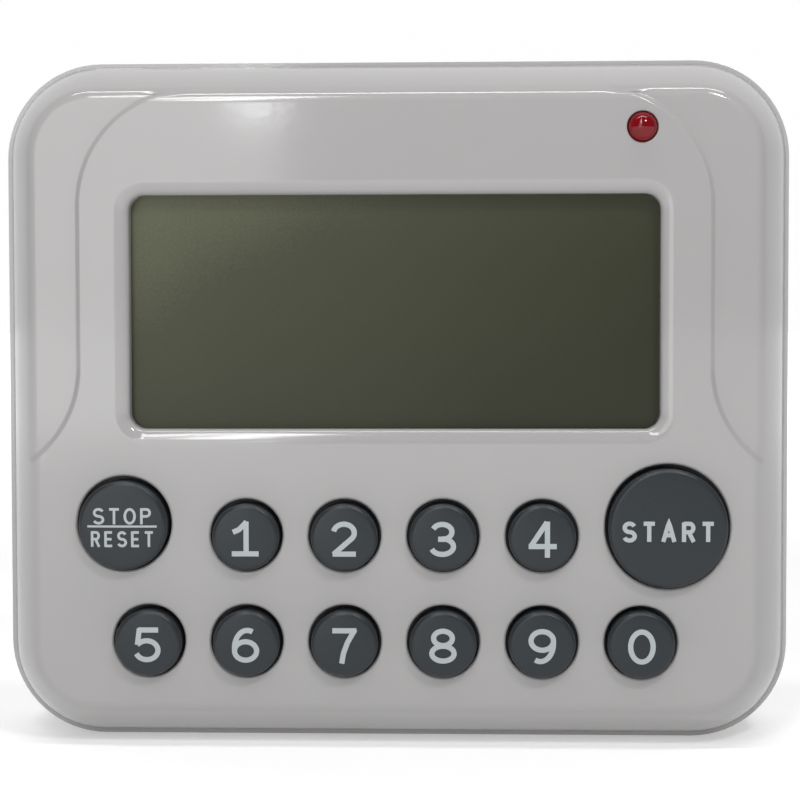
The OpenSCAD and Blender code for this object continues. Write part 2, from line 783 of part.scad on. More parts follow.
// White frame that presses the display to the face and holds the contact strip
module lcd_holder() {
  color(frame_white)
  difference() {
    union() {
      between(holder_d, board_d)
        translate([-glass_w / 2 - holder_t, ledge_z - holder_foot])
          square([glass_w + 2 * holder_t, glass_top_z - ledge_z + holder_t + holder_foot]);
      between(rear_glass_d + 0.05, holder_d + EPS)
        translate([-glass_w / 2, ledge_z])
          square([glass_w, rear_glass_z - ledge_z - 0.1]);
    }
    between(holder_d - 1, board_d + 1)
      translate([-glass_w / 2 + holder_rim, rear_glass_z + 1])
        square([glass_w - 2 * holder_rim, glass_top_z - rear_glass_z - 1 - holder_rim]);
    between(rear_glass_d - 1, board_d + 1)
      translate([-(strip_w + strip_gap) / 2, ledge_z + strip_gap / 2])
        square([strip_w + strip_gap, rear_glass_z - ledge_z - 2 * strip_gap]);
    // Room for the board posts beside the frame
    for (p = board_post_places) {
      round_bar(p, post_r + 0.3, holder_d - 1, board_d + 1);
    }
  }
}

// Striped rubber strip that joins the glass to the circuit board
module contact_strip() {
  color(rubber_grey)
    between(rear_glass_d, board_d)
      translate([-strip_w / 2, ledge_z + strip_gap])
        square([strip_w, rear_glass_z - ledge_z - 3 * strip_gap]);
}

// ---------------------------------------------------------------------------------------
// Circuit board
// ---------------------------------------------------------------------------------------

module circuit_board() {
  color(board_green)
    difference() {
      between(board_d, board_back_d)
        translate([0, mid_z])
          rounded_rect(body_w - 2 * board_inset, body_h - 2 * board_inset, corner_r - board_inset);
      for (p = screw_places) {
        round_bar(p, case_post_r + 0.7, board_d - 1, board_back_d + 1);
      }
      for (p = board_post_places) {
        round_bar(p, board_screw_dia / 2 + screw_clearance, board_d - 1, board_back_d + 1);
      }
      for (side = [-1, 1]) {
        round_bar([lamp_x + side * lamp_lead_pitch / 2, lamp_z], 0.45, board_d - 1, board_back_d + 1);
      }
    }
}

// Black resin over the bare chip
module chip_cover() {
  ball_r = (chip_cover_r * chip_cover_r + chip_cover_t * chip_cover_t) / (2 * chip_cover_t);
  color(carbon_black)
    translate([chip_place[0], face_y + board_back_d, chip_place[1]])
      rotate([-90, 0, 0])
        intersection() {
          translate([0, 0, chip_cover_t - ball_r])
            sphere(ball_r);
          cylinder(r = chip_cover_r + 1, h = chip_cover_t + 1);
        }
}

module crystal() {
  color(steel)
    translate([crystal_place[0], face_y + board_back_d + crystal_dia / 2 + 0.05, crystal_place[1]])
      rotate([0, 90, 0])
        cylinder(r = crystal_dia / 2, h = crystal_len);
}

// Small chip resistors and capacitors, and one standing capacitor
module board_components() {
  color(part_brown)
    for (p = chip_part_places) {
      between(board_back_d, board_back_d + chip_part_t)
        translate(p)
          square(chip_part_size, center = true);
    }
  color(capacitor_blue)
    round_bar(capacitor_place, capacitor_r, board_back_d, board_back_d + capacitor_h);
}

// ---------------------------------------------------------------------------------------
// Keypad
// ---------------------------------------------------------------------------------------

// Cap, flange and stem of one key
module key_button(place, hole) {
  cap_r = hole / 2 - key_gap;
  translate([place[0], face_y, place[1] - key_sag])
    rotate([-90, 0, 0])
      rotate_extrude() {
        translate([0, -key_proud])
          square([cap_r - key_edge_r, key_proud + flange_d + flange_t]);
        translate([0, -key_proud + key_edge_r])
          square([cap_r, key_proud - key_edge_r + flange_d + flange_t]);
        intersection() {
          translate([cap_r - key_edge_r, -key_proud + key_edge_r])
            circle(key_edge_r);
          translate([0, -key_proud])
            square([cap_r, 2 * key_edge_r]);
        }
        translate([0, flange_d])
          square([hole / 2 + key_flange - key_gap / 2, flange_t]);
        square([cap_r - plunger_inset, plunger_d]);
      }
}

// Carbon contact under a key's dome
module carbon_pill(place, hole) {
  color(carbon_black)
    round_bar([place[0], place[1] - key_sag], hole / 2 - key_gap - pill_inset,
              pill_d, pill_d + pill_t);
}

// Silicone mat with one dome under each key
module keypad_mat() {
  color(rubber_grey)
  difference() {
    union() {
      between(web_d, board_d)
        translate([-mat_half_w, mat_bottom_z])
          square([2 * mat_half_w, mat_top_z - mat_bottom_z]);
      for (i = [0:len(key_places) - 1]) {
        place = [key_places[i][0], key_places[i][1] - key_sag];
        cap_r = key_holes[i] / 2 - key_gap;
        cone_bar(place, cap_r - plunger_inset + 0.1, cap_r - 0.1, web_d - dome_shoulder_t,
                 web_d + EPS);
        round_bar(place, cap_r - plunger_inset, plunger_d, web_d);
      }
    }
    for (i = [0:len(key_places) - 1]) {
      place = [key_places[i][0], key_places[i][1] - key_sag];
      cap_r = key_holes[i] / 2 - key_gap;
      cone_bar(place, cap_r - pill_inset + 0.15, cap_r - 0.6, pill_d, board_d + EPS);
    }
    for (p = concat(screw_places, [board_post_places[4]])) {
      round_bar(p, case_post_r + 0.6, web_d - 1, board_d + 1);
    }
  }
}

module digit_key(digit) {
  color(key_slate)
    key_button(digit_place(digit), hole_dia);
}

module start_key() {
  color(key_slate)
    key_button(start_place, start_hole_dia);
}

module stop_reset_key() {
  color(key_slate)
    key_button(stop_place, stop_hole_dia);
}

// ---------------------------------------------------------------------------------------
// Signal lamp
// ---------------------------------------------------------------------------------------

module led_lens() {
  color(lamp_red)
    translate([lamp_x, face_y, lamp_z])
      rotate([-90, 0, 0])
        rotate_extrude() {
          intersection() {
            translate([0, lamp_dia / 2 - lamp_proud])
              circle(lamp_dia / 2);
            translate([0, -lamp_proud])
              square([lamp_dia / 2, lamp_dia / 2]);
          }
          translate([0, lamp_dia / 2 - lamp_proud])
            square([lamp_dia / 2, lamp_base_d - lamp_dia / 2 + lamp_proud]);
          translate([0, lamp_base_d - lamp_flange_t])
            square([lamp_dia / 2 + 0.4, lamp_flange_t]);
        }
}

module led_leads() {
  color(steel)
    for (side = [-1, 1]) {
      between(lamp_base_d, lamp_lead_end_d)
        translate([lamp_x + side * lamp_lead_pitch / 2, lamp_z])
          square(lamp_lead_t, center = true);
    }
}

// ---------------------------------------------------------------------------------------
// Sounder
// ---------------------------------------------------------------------------------------

module sounder_disc() {
  color(brass)
    round_bar([-side_x, sounder_z], sounder_dia / 2, sounder_d, sounder_d + sounder_t);
}

module sounder_ceramic() {
  color(ceramic_cream)
    round_bar([-side_x, sounder_z], ceramic_dia / 2, sounder_d - ceramic_t, sounder_d);
}

module sounder_wire_red() {
  color(wire_red)
    wire(sounder_red_route, [1, 0, 0]);
}

module sounder_wire_black() {
  color(wire_black)
    wire(sounder_black_route, [1, 0, 0]);
}

// ---------------------------------------------------------------------------------------
// Battery
// ---------------------------------------------------------------------------------------

// Round bar along X on the cell's axis
module cell_bar(r, x_0, x_1) {
  translate([x_0, face_y + cell_d, cell_z])
    rotate([0, 90, 0])
      cylinder(r = r, h = x_1 - x_0);
}

module battery_can() {
  can_r = cell_dia / 2 - sleeve_t - sleeve_gap;
  color(steel) {
    cell_bar(can_r, cell_minus_x, cell_plus_x - button_len);
    cell_bar(button_r, cell_plus_x - button_len - EPS, cell_plus_x);
  }
}

module battery_sleeve() {
  sleeve_inset = 0.6;
  color(sleeve_green)
    difference() {
      cell_bar(cell_dia / 2, cell_minus_x + sleeve_inset, cell_plus_x - button_len - sleeve_inset);
      cell_bar(cell_dia / 2 - sleeve_t, cell_minus_x, cell_plus_x);
    }
}

// Flat plate at one end of the bay, with a solder tab through the tray's wall
module contact_plate(side) {
  plate_x = side * (tray_len / 2 - contact_t / 2);
  tab_mid_x = plate_x + side * (tray_t + contact_tab_out) / 2;
  translate([plate_x, face_y + cell_d, cell_z])
    cube([contact_t, contact_size, contact_size], center = true);
  translate([tab_mid_x, face_y + contact_tab_d, cell_z])
    cube([tray_t + contact_tab_out + contact_t, contact_t, contact_tab_w], center = true);
}

// Positive contact with its raised dimple
module battery_contact() {
  color(steel) {
    contact_plate(1);
    cell_bar(1.4, cell_plus_x, plus_x + EPS);
  }
}

// Negative contact: a plate with a conical coil spring
module battery_spring() {
  coil_len = cell_minus_x - minus_x - spring_wire;
  steps = 16 * spring_turns;
  coil = [for (i = [0:steps])
    let (t = i / steps, r = 3.9 - 1.4 * t)
    [minus_x + spring_wire / 2 + coil_len * t,
     cell_d + r * cos(360 * spring_turns * t), cell_z + r * sin(360 * spring_turns * t)]];
  color(steel) {
    contact_plate(-1);
    translate([0, face_y, 0])
      tube(coil, spring_wire, 6, [1, 0, 0]);
  }
}

module battery_wire_red() {
  color(wire_red)
    wire(battery_red_route, [1, 0, 0]);
}

module battery_wire_black() {
  color(wire_black)
    wire(battery_black_route, [1, 0, 0]);
}

// Door: it swings out about the outer edge of its lower side, on two tabs
module battery_door() {
  color(housing_white)
    difference() {
      union() {
        between(door_inner_d, door_outer_d)
          translate([0, cell_z])
            rounded_rect(door_w, door_h, 1 - door_gap);
        for (side = [-1, 1]) {
          // Tab: a root behind the door and a toe under the frame
          between(door_inner_d - tab_behind_door - tab_t, door_inner_d + EPS)
            translate([side * tab_x - tab_w / 2, door_bottom_z])
              square([tab_w, tab_root_t]);
          between(door_inner_d - tab_behind_door - tab_t, door_inner_d - tab_behind_door)
            translate([side * tab_x - tab_w / 2, door_bottom_z - tab_drop])
              square([tab_w, tab_drop + EPS]);
          // Ribs that keep the cell down
          between(door_inner_d - cell_rib_h, door_inner_d + EPS)
            translate([side * cell_rib_x, cell_z])
              square([1.2, 5], center = true);
        }
      }
      // Notch for the latch
      between(door_inner_d - 1, door_outer_d + 1)
        translate([-latch_w / 2 - latch_side_gap, door_top_z - latch_notch_h])
          square([latch_w + 2 * latch_side_gap, 2 * latch_notch_h]);
    }
}

// Springy tongue of the door, moulded with it: a folded strip with a hook
module battery_door_latch() {
  root_z = door_top_z - latch_notch_h - latch_t;
  tip_z = root_z + latch_t + latch_gap;
  low_d = door_inner_d - latch_depth;
  hook_top_d = recess_d - 0.1;
  outline = [
    [door_inner_d, root_z], [low_d, root_z], [low_d, tip_z + latch_t],
    [hook_top_d - 1.4, tip_z + latch_t], [hook_top_d - 0.5, door_top_z + door_gap + latch_hook],
    [hook_top_d, door_top_z + door_gap + latch_hook], [hook_top_d, tip_z + latch_t],
    [door_outer_d, tip_z + latch_t], [door_outer_d, tip_z], [low_d + latch_t, tip_z],
    [low_d + latch_t, root_z + latch_t], [door_inner_d, root_z + latch_t]
  ];
  color(housing_white)
    translate([-latch_w / 2, face_y, 0])
      rotate([90, 0, 90])
        linear_extrude(latch_w)
          polygon(outline);
}

// ---------------------------------------------------------------------------------------
// Stand, magnets and fasteners
// ---------------------------------------------------------------------------------------

module stand() {
  color(housing_white)
    union() {
      between(hinge_d - stand_t / 2, hinge_d + stand_t / 2)
        union() {
          translate([-stand_w / 2, stand_z - stand_len + stand_corner_r])
            square([stand_w, stand_len - stand_corner_r + heel_len]);
          translate([-stand_w / 2 + stand_corner_r, stand_z - stand_len])
            square([stand_w - 2 * stand_corner_r, stand_corner_r + EPS]);
          for (side = [-1, 1]) {
            translate([side * (stand_w / 2 - stand_corner_r), stand_z - stand_len + stand_corner_r])
              circle(stand_corner_r);
          }
        }
      translate([-stand_w / 2 - pin_len, face_y + hinge_d, stand_z])
        rotate([0, 90, 0])
          cylinder(r = pin_dia / 2, h = stand_w + 2 * pin_len);
    }
}

module magnets() {
  color(steel)
    for (side = [-1, 1]) {
      round_bar([side * side_x, magnet_z], magnet_dia / 2, body_d - magnet_t, body_d);
    }
}

// Pan head screw whose head's underside is at the given depth
module pan_screw(place, head_d, dia, length, head_dia, head_t) {
  difference() {
    union() {
      round_bar(place, dia / 2, head_d - length, head_d + EPS);
      round_bar(place, head_dia / 2, head_d, head_d + head_t);
    }
    // Cross recess
    between(head_d + head_t / 2, head_d + head_t + 1)
      translate(place)
        for (a = [0, 90]) {
          rotate(a)
            square([head_dia * 0.55, 0.5], center = true);
        }
  }
}

module case_screws() {
  color(steel)
    for (p = screw_places) {
      pan_screw(p, counterbore_d, screw_dia, screw_len, screw_head_dia, screw_head_t);
    }
}

module board_screws() {
  color(steel)
    for (p = board_post_places) {
      pan_screw(p, board_back_d, board_screw_dia, board_screw_len, board_head_dia, board_head_t);
    }
}

// ---------------------------------------------------------------------------------------
// Nodes
// ---------------------------------------------------------------------------------------

front_shell();
back_shell();
lcd_front_polariser();
lcd_front_glass();
lcd_rear_glass();
lcd_reflector();
lcd_holder();
contact_strip();
circuit_board();
chip_cover();
crystal();
board_components();
keypad_mat();
for (digit = [0:9]) {
  digit_key(digit);
  carbon_pill(digit_place(digit), hole_dia);
}
start_key();
carbon_pill(start_place, start_hole_dia);  // carbon_pill_start
stop_reset_key();
carbon_pill(stop_place, stop_hole_dia);  // carbon_pill_stop
led_lens();
led_leads();
sounder_disc();
sounder_ceramic();
sounder_wire_red();
sounder_wire_black();
battery_can();
battery_sleeve();
battery_spring();
battery_contact();
battery_wire_red();
battery_wire_black();
battery_door();
battery_door_latch();
stand();
magnets();
case_screws();
board_screws();
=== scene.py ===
import math

import bmesh
import bpy
import numpy as np
from mathutils import Matrix, Vector
from mathutils.geometry import delaunay_2d_cdt
from mathutils.kdtree import KDTree


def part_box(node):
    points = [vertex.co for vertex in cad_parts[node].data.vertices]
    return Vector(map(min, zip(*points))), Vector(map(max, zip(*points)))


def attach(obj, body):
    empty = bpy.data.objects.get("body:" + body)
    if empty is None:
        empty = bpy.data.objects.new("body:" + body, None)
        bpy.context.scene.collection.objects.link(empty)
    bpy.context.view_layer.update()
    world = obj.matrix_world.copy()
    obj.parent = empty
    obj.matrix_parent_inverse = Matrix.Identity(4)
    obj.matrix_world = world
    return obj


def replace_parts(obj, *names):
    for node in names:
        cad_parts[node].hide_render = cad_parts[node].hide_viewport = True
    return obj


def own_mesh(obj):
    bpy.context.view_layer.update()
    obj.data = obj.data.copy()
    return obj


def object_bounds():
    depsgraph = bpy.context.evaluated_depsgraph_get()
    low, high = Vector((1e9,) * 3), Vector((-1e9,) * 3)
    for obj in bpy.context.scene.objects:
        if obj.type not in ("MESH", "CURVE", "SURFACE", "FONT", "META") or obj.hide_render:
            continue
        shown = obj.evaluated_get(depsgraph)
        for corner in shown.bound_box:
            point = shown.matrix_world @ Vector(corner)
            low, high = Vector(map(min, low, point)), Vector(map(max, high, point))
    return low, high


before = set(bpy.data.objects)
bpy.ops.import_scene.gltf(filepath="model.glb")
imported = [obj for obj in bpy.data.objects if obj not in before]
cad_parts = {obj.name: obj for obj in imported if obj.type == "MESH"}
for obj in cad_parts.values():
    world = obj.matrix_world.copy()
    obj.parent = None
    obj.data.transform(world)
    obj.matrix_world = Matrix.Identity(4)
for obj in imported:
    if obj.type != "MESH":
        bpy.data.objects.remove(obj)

MM = 0.001
cad_low, cad_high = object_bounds()

# --------------------------------------
# Studio: the timer stands on a plain pale table, in front of a white backdrop, as for a
# catalogue. A long softbox hangs over it, narrow ones stand in front, a broad panel fills
# from the left and a small lamp shines from the upper right. The room in front is dim.
# --------------------------------------
scene = bpy.context.scene
scene.view_settings.view_transform = "Standard"

CAMERA_DISTANCE = 200 * MM
CAMERA_AZIMUTH = 2.20
CAMERA_ELEVATION = 2.51
CAMERA_ROLL = -0.11
CAMERA_AIM = Vector((0.65 * MM, 0, 0.35 * MM))
CAMERA_LENS = 90

case_mid = (cad_low + cad_high) / 2
FACE_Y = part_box("front_shell")[0].y


def toward(azimuth, elevation):
    """Unit vector from the timer to a place in front of it, as an azimuth and elevation."""
    a, e = math.radians(azimuth), math.radians(elevation)
    return Vector((math.sin(a) * math.cos(e), -math.cos(a) * math.cos(e), math.sin(e)))


camera_data = bpy.data.cameras.new("camera")
camera_data.lens = CAMERA_LENS
camera_data.clip_start = 1 * MM
camera_data.clip_end = 20
camera = bpy.data.objects.new("camera", camera_data)
scene.collection.objects.link(camera)
scene.camera = camera
camera_back = toward(CAMERA_AZIMUTH, CAMERA_ELEVATION)
camera_turn = (-camera_back).to_track_quat("-Z", "Y").to_matrix().to_4x4()
camera_aim = Vector((case_mid.x, FACE_Y, case_mid.z)) + CAMERA_AIM
camera.matrix_world = (Matrix.Translation(camera_aim + camera_back * CAMERA_DISTANCE)
                       @ camera_turn @ Matrix.Rotation(math.radians(CAMERA_ROLL), 4, "Z"))

BACKDROP_WHITE = 1.0
ROOM_GREY = 0.13
world = bpy.data.worlds.new("studio")
scene.world = world
world.use_nodes = True


def node(tree, kind, inputs, **settings):
    """Adds a shader node; each input takes a constant or another node's output."""
    made = tree.nodes.new("ShaderNode" + kind)
    for setting, value in settings.items():
        setattr(made, setting, value)
    for socket, value in inputs.items():
        if isinstance(value, bpy.types.NodeSocket):
            tree.links.new(value, made.inputs[socket])
        else:
            made.inputs[socket].default_value = value
    return made.outputs


# Seen from every side the surroundings are white, but the room lights the timer dimly
studio = world.node_tree
away = node(studio, "SeparateXYZ", {0: node(studio, "TexCoord", {})["Generated"]})["Y"]
fade = node(studio, "MapRange", {"From Min": -0.10, "From Max": 0.70, "To Min": ROOM_GREY,
                                 "To Max": BACKDROP_WHITE, "Value": away},
            interpolation_type="SMOOTHSTEP")["Result"]
seen = node(studio, "LightPath", {})["Is Camera Ray"]
brighter = node(studio, "Math", {0: fade, 1: seen}, operation="MAXIMUM")["Value"]
studio.links.new(brighter, studio.nodes["Background"].inputs["Strength"])
studio.nodes["Background"].inputs["Color"].default_value = (1.0, 0.995, 1.0, 1)


def softbox(name, place, width, height, power):
    """A rectangular softbox (metres, watts), turned to the middle of the timer."""
    data = bpy.data.lights.new(name, "AREA")
    data.shape = "RECTANGLE"
    data.size = width
    data.size_y = height
    data.energy = power
    lamp = bpy.data.objects.new(name, data)
    lamp.matrix_world = (Matrix.Translation(place)
                         @ (case_mid - place).to_track_quat("-Z", "Y").to_matrix().to_4x4())
    scene.collection.objects.link(lamp)


softbox("overhead_strip", case_mid + toward(2, 80) * 0.40, 0.42, 0.040, 0.70)
softbox("tall_window", case_mid + toward(-10.0, 38) * 0.55, 0.028, 0.36, 0.55)
softbox("high_window", case_mid + toward(-15.4, 44) * 0.55, 0.030, 0.315, 0.42)
softbox("left_panel", case_mid + toward(-18, 7) * 0.55, 0.22, 0.32, 0.50)
softbox("low_window", case_mid + toward(-7.6, 9.1) * 0.55, 0.013, 0.014, 0.010)
softbox("right_lamp", case_mid + toward(30, 44) * 0.40, 0.06, 0.05, 0.42)

floor_mesh = bpy.data.meshes.new("table")
FLOOR_HALF = 4.0
floor_mesh.from_pydata([(-FLOOR_HALF, -FLOOR_HALF, 0), (FLOOR_HALF, -FLOOR_HALF, 0),
                        (FLOOR_HALF, FLOOR_HALF, 0), (-FLOOR_HALF, FLOOR_HALF, 0)], [],
                       [(0, 1, 2, 3)])
table = bpy.data.objects.new("table", floor_mesh)
scene.collection.objects.link(table)
table_paint = bpy.data.materials.new("table_paint")
table_paint.use_nodes = True
top = table_paint.node_tree
table_shader = top.nodes["Principled BSDF"].inputs
table_shader["Base Color"].default_value = (0.72, 0.72, 0.72, 1)
table_shader["Roughness"].default_value = 0.7
table_shader["Emission Color"].default_value = (1, 1, 1, 1)
# The table glows more and more with distance, like paper lit from behind
reach = node(top, "VectorMath", {0: node(top, "TexCoord", {})["Object"]}, operation="LENGTH")
glow = node(top, "MapRange", {"From Min": 0.15, "From Max": 0.60, "To Min": 0.33,
                              "To Max": 1.00, "Value": reach["Value"]})
top.links.new(glow["Result"], table_shader["Emission Strength"])
floor_mesh.materials.append(table_paint)

# --------------------------------------
# Front shell: one injection moulding in glossy light grey ABS, 2 mm at the face. A wide
# band slopes from the ridge to the rim, the face steps down at both sides of the middle
# panel, and the window and every key hole have rolled or broken edges. Four screw posts
# and five board posts stand on its inside.
# --------------------------------------
SHELL_W = 80.4
SHELL_H = 69.5
SHELL_R = 9.8
RIM_INSET = 0.45
BAND_W = 4.6
RIDGE_R = 1.3
BAND_SLOPE = math.radians(38)
PARTING_D = 6.8
PARTING_GAP = 0.1
RIM_FLAT = 0.2
FACE_T = 2.0
SHELL_WALL = 1.6
RIDGE_BLEND = 0.85
PANEL_STEP = 0.45
PANEL_STEP_W = 0.62
PANEL_X = 31.75
PANEL_R = 11.5
PANEL_TOP_Z = 54.6
PANEL_LOW_Z = 38.4
WINDOW_W = 53.3
WINDOW_H = 23.5
WINDOW_Z = 43.9
WINDOW_R = 1.6
LIP_W = 1.5
LIP_D = 0.9
HOLE_EDGE = 0.28
LAMP_PLACE = (24.75, 62.2)
LAMP_HOLE_R = 1.55
KEY_PITCH = 9.89
KEY_ROWS = (21.5, 10.8)
KEY_SAG = 0.12
KEY_GAP = 0.29
KEY_HOLES = {"key": 7.28 / 2, "start": 12.46 / 2, "stop": 9.54 / 2}
MID_Z = SHELL_H / 2
LAMP_HOLE_EDGE = 0.15
SCREW_INSET = 7.2
SCREW_POST = (2.4, 0.85)
SCREW_POST_END = 12.0
BOARD_POST = (1.9, 0.7)
BOARD_D = 6.2
POST_X = SHELL_W / 2 - 5.8
BOARD_POSTS = [(-POST_X, 33.5), (POST_X, 33.5), (-POST_X, 52), (POST_X, 52), (0, 5)]

BAND_INSET_1 = BAND_W - RIDGE_R * math.cos(BAND_SLOPE)
BAND_DEPTH_1 = RIDGE_R * (1 - math.sin(BAND_SLOPE))
BAND_DEPTH_2 = PARTING_D - PARTING_GAP - RIM_FLAT
RIM_SLOPE = (2 * math.atan((BAND_INSET_1 - RIM_INSET) / (BAND_DEPTH_2 - BAND_DEPTH_1))
             - BAND_SLOPE)
BAND_R = (BAND_INSET_1 - RIM_INSET) / (math.cos(RIM_SLOPE) - math.cos(BAND_SLOPE))


def key_place(digit):
    column = 5 if digit == 0 else digit if digit < 5 else digit - 5
    return ((column - 2.5) * KEY_PITCH, KEY_ROWS[0 if 0 < digit < 5 else 1])


keys = {f"key_{d}": (key_place(d), KEY_HOLES["key"]) for d in range(10)}
keys["start_key"] = ((27.35, 22.45), KEY_HOLES["start"])
keys["stop_reset_key"] = ((-27.2, 22.65), KEY_HOLES["stop"])


def rounded_loop(width, height, radius, corner_steps, side_steps):
    """Points (x, z) round a rectangle with round corners, always the same number."""
    points = []
    corners = [(1, 1, 0), (-1, 1, 90), (-1, -1, 180), (1, -1, 270)]
    for i, (sx, sz, start) in enumerate(corners):
        cx, cz = sx * (width / 2 - radius), sz * (height / 2 - radius)
        arc = [math.radians(start + 90 * k / corner_steps) for k in range(corner_steps + 1)]
        points += [(cx + radius * math.cos(a), cz + radius * math.sin(a)) for a in arc]
        run, steps = (width, side_steps[0]) if i % 2 == 0 else (height, side_steps[1])
        step = (run - 2 * radius) / steps
        x, z = points[-1]
        points += [(x - math.sin(arc[-1]) * step * k, z + math.cos(arc[-1]) * step * k)
                   for k in range(1, steps)]
    return np.array(points)


def outline(inset, corner_steps=14, side_steps=(26, 22)):
    loop = rounded_loop(SHELL_W - 2 * inset, SHELL_H - 2 * inset, SHELL_R - inset,
                        corner_steps, side_steps)
    return loop + (0, MID_Z)


def box_inset(p, width, height, radius, mid_z):
    """How far points lie inside a round-cornered rectangle's edge; outside it is negative."""
    qx = np.abs(p[:, 0]) - (width / 2 - radius)
    qz = np.abs(p[:, 1] - mid_z) - (height / 2 - radius)
    outside = np.hypot(np.maximum(qx, 0), np.maximum(qz, 0))
    return radius - outside - np.minimum(np.maximum(qx, qz), 0)


def band_depth(inset):
    """Depth of the sloping band, carried on in a straight line above the face."""
    c = np.clip(math.cos(BAND_SLOPE) + (BAND_INSET_1 - inset) / BAND_R, 0, 1)
    arc = BAND_DEPTH_1 + BAND_R * (math.sin(BAND_SLOPE) - np.sqrt(1 - c * c))
    line = BAND_DEPTH_1 - (inset - BAND_INSET_1) / math.tan(BAND_SLOPE)
    return np.where(inset < BAND_INSET_1, arc, line)


def beyond_panel(p):
    """How far points lie outside the middle panel's curved edge, at either side."""
    x, z = np.abs(p[:, 0]), p[:, 1]
    upper = np.hypot(x - (PANEL_X - PANEL_R), z - PANEL_TOP_Z) - PANEL_R
    upper = np.where(x < PANEL_X - PANEL_R, z - PANEL_TOP_Z - PANEL_R, upper)
    lower = PANEL_R - np.hypot(x - (PANEL_X + PANEL_R), z - PANEL_LOW_Z)
    lower = np.where(x > PANEL_X + PANEL_R, z - PANEL_LOW_Z + PANEL_R, lower)
    return np.where(z > PANEL_TOP_Z, upper, np.where(z < PANEL_LOW_Z, lower, x - PANEL_X))


def rolled(t, width, depth):
    """Depth of a rolled edge at distance t from its hole."""
    u = np.clip((width - np.where(t < 0.001, 0, t)) / width, 0, 1)
    return depth * (1 - np.sqrt(1 - u * u))


def face_depth(p):
    """Depth of the front shell's outer skin under points (x, z)."""
    s = np.clip(beyond_panel(p) / PANEL_STEP_W + 0.5, 0, 1)
    panel = PANEL_STEP * s * s * (3 - 2 * s)
    band = band_depth(box_inset(p, SHELL_W, SHELL_H, SHELL_R, MID_Z))
    near = np.maximum(RIDGE_BLEND - np.abs(band - panel), 0) / RIDGE_BLEND
    depth = np.maximum(band, panel) + near * near * RIDGE_BLEND / 4
    depth += rolled(-box_inset(p, WINDOW_W, WINDOW_H, WINDOW_R, WINDOW_Z), LIP_W, LIP_D)
    for (x, z), r in keys.values():
        depth += rolled(np.hypot(p[:, 0] - x, p[:, 1] - z) - r, HOLE_EDGE, HOLE_EDGE)
    x, z = LAMP_PLACE
    away = np.hypot(p[:, 0] - x, p[:, 1] - z) - LAMP_HOLE_R
    return depth + rolled(away, LAMP_HOLE_EDGE, LAMP_HOLE_EDGE)


def face_normal(p):
    """Direction of the outer skin at points (x, z)."""
    e = 0.004
    dx = (face_depth(p + (e, 0)) - face_depth(p - (e, 0))) / (2 * e)
    dz = (face_depth(p + (0, e)) - face_depth(p - (0, e))) / (2 * e)
    n = np.stack([dx, -np.ones(len(p)), dz], 1)
    return n / np.linalg.norm(n, axis=1)[:, None]


def ring(place, radius, steps):
    a = np.arange(steps) * 2 * math.pi / steps
    return np.stack([place[0] + radius * np.cos(a), place[1] + radius * np.sin(a)], 1)


def sheet_between(loops, lines, holes, edge):
    """Triangles that fill the space inside the edge test and outside the holes."""
    points, edges = [], []
    for loop in loops:
        start = len(points)
        points += [Vector(p) for p in loop]
        edges += [(start + i, start + (i + 1) % len(loop)) for i in range(len(loop))]
    for line in lines:
        start = len(points)
        points += [Vector(p) for p in line]
        edges += [(start + i, start + i + 1) for i in range(len(line) - 1)]
    verts, _, faces, *_ = delaunay_2d_cdt(points, edges, [], 0, 1e-5)
    flat = np.array([tuple(v) for v in verts])
    tri = np.array([f for f in faces if len(f) == 3])
    mid = flat[tri].mean(axis=1)
    keep = edge(mid)
    for hole in holes:
        keep &= hole(mid)
    return flat, tri[keep]


hole_steps = {name: 56 if r < 4 else 80 for name, (_, r) in keys.items()}
LIP_ANGLES = [math.radians(90 * i / 9) for i in range(10)]


def window_loop(grow):
    loop = rounded_loop(WINDOW_W + 2 * grow, WINDOW_H + 2 * grow, WINDOW_R + grow, 8, (18, 8))
    return loop + (0, WINDOW_Z)


def off_the_holes():
    """Tests for points that lie on the plastic, and not in the window or a round hole."""
    tests = [lambda m: box_inset(m, WINDOW_W, WINDOW_H, WINDOW_R, WINDOW_Z) < 0]
    for place, r in list(keys.values()) + [(LAMP_PLACE, LAMP_HOLE_R)]:
        tests.append(lambda m, place=place, r=r:
                     np.hypot(m[:, 0] - place[0], m[:, 1] - place[1]) > r * 0.998)
    return tests


def shell_skin():
    """The outer skin: triangles (x, z) and their depths."""
    ridge = [3.0 + 0.2 * i for i in range(12)]
    slope = [RIM_INSET + (2.9 - RIM_INSET) * i / 9 for i in range(10)]
    loops = [outline(i) for i in slope + ridge]
    loops += [window_loop(LIP_W * (1 - math.sin(a))) for a in LIP_ANGLES]
    for name, (place, r) in keys.items():
        loops += [ring(place, r + HOLE_EDGE * g, hole_steps[name])
                  for g in (0, 0.08, 0.25, 0.5, 0.75, 1.0)]
    loops += [ring(LAMP_PLACE, LAMP_HOLE_R + g, 40)
              for g in (0, 0.02, 0.06, 0.1, LAMP_HOLE_EDGE)]
    lines = []
    for offset in np.linspace(-PANEL_STEP_W / 2, PANEL_STEP_W / 2, 9):
        r_up, r_low = PANEL_R + offset, PANEL_R - offset
        up = [(PANEL_X - PANEL_R + r_up * math.cos(a), PANEL_TOP_Z + r_up * math.sin(a))
              for a in np.radians(np.linspace(70, 0, 22))]
        low = [(PANEL_X + PANEL_R - r_low * math.cos(a), PANEL_LOW_Z - r_low * math.sin(a))
               for a in np.radians(np.linspace(0, 62, 20))]
        side = [(PANEL_X + offset, PANEL_TOP_Z + (PANEL_LOW_Z - PANEL_TOP_Z) * i / 6)
                for i in range(1, 6)]
        line = np.array(up + side + low)
        lines += [line, line * (-1, 1)]
    return sheet_between(loops, lines, off_the_holes(),
                         lambda m: box_inset(m, SHELL_W, SHELL_H, SHELL_R, MID_Z) > RIM_INSET)


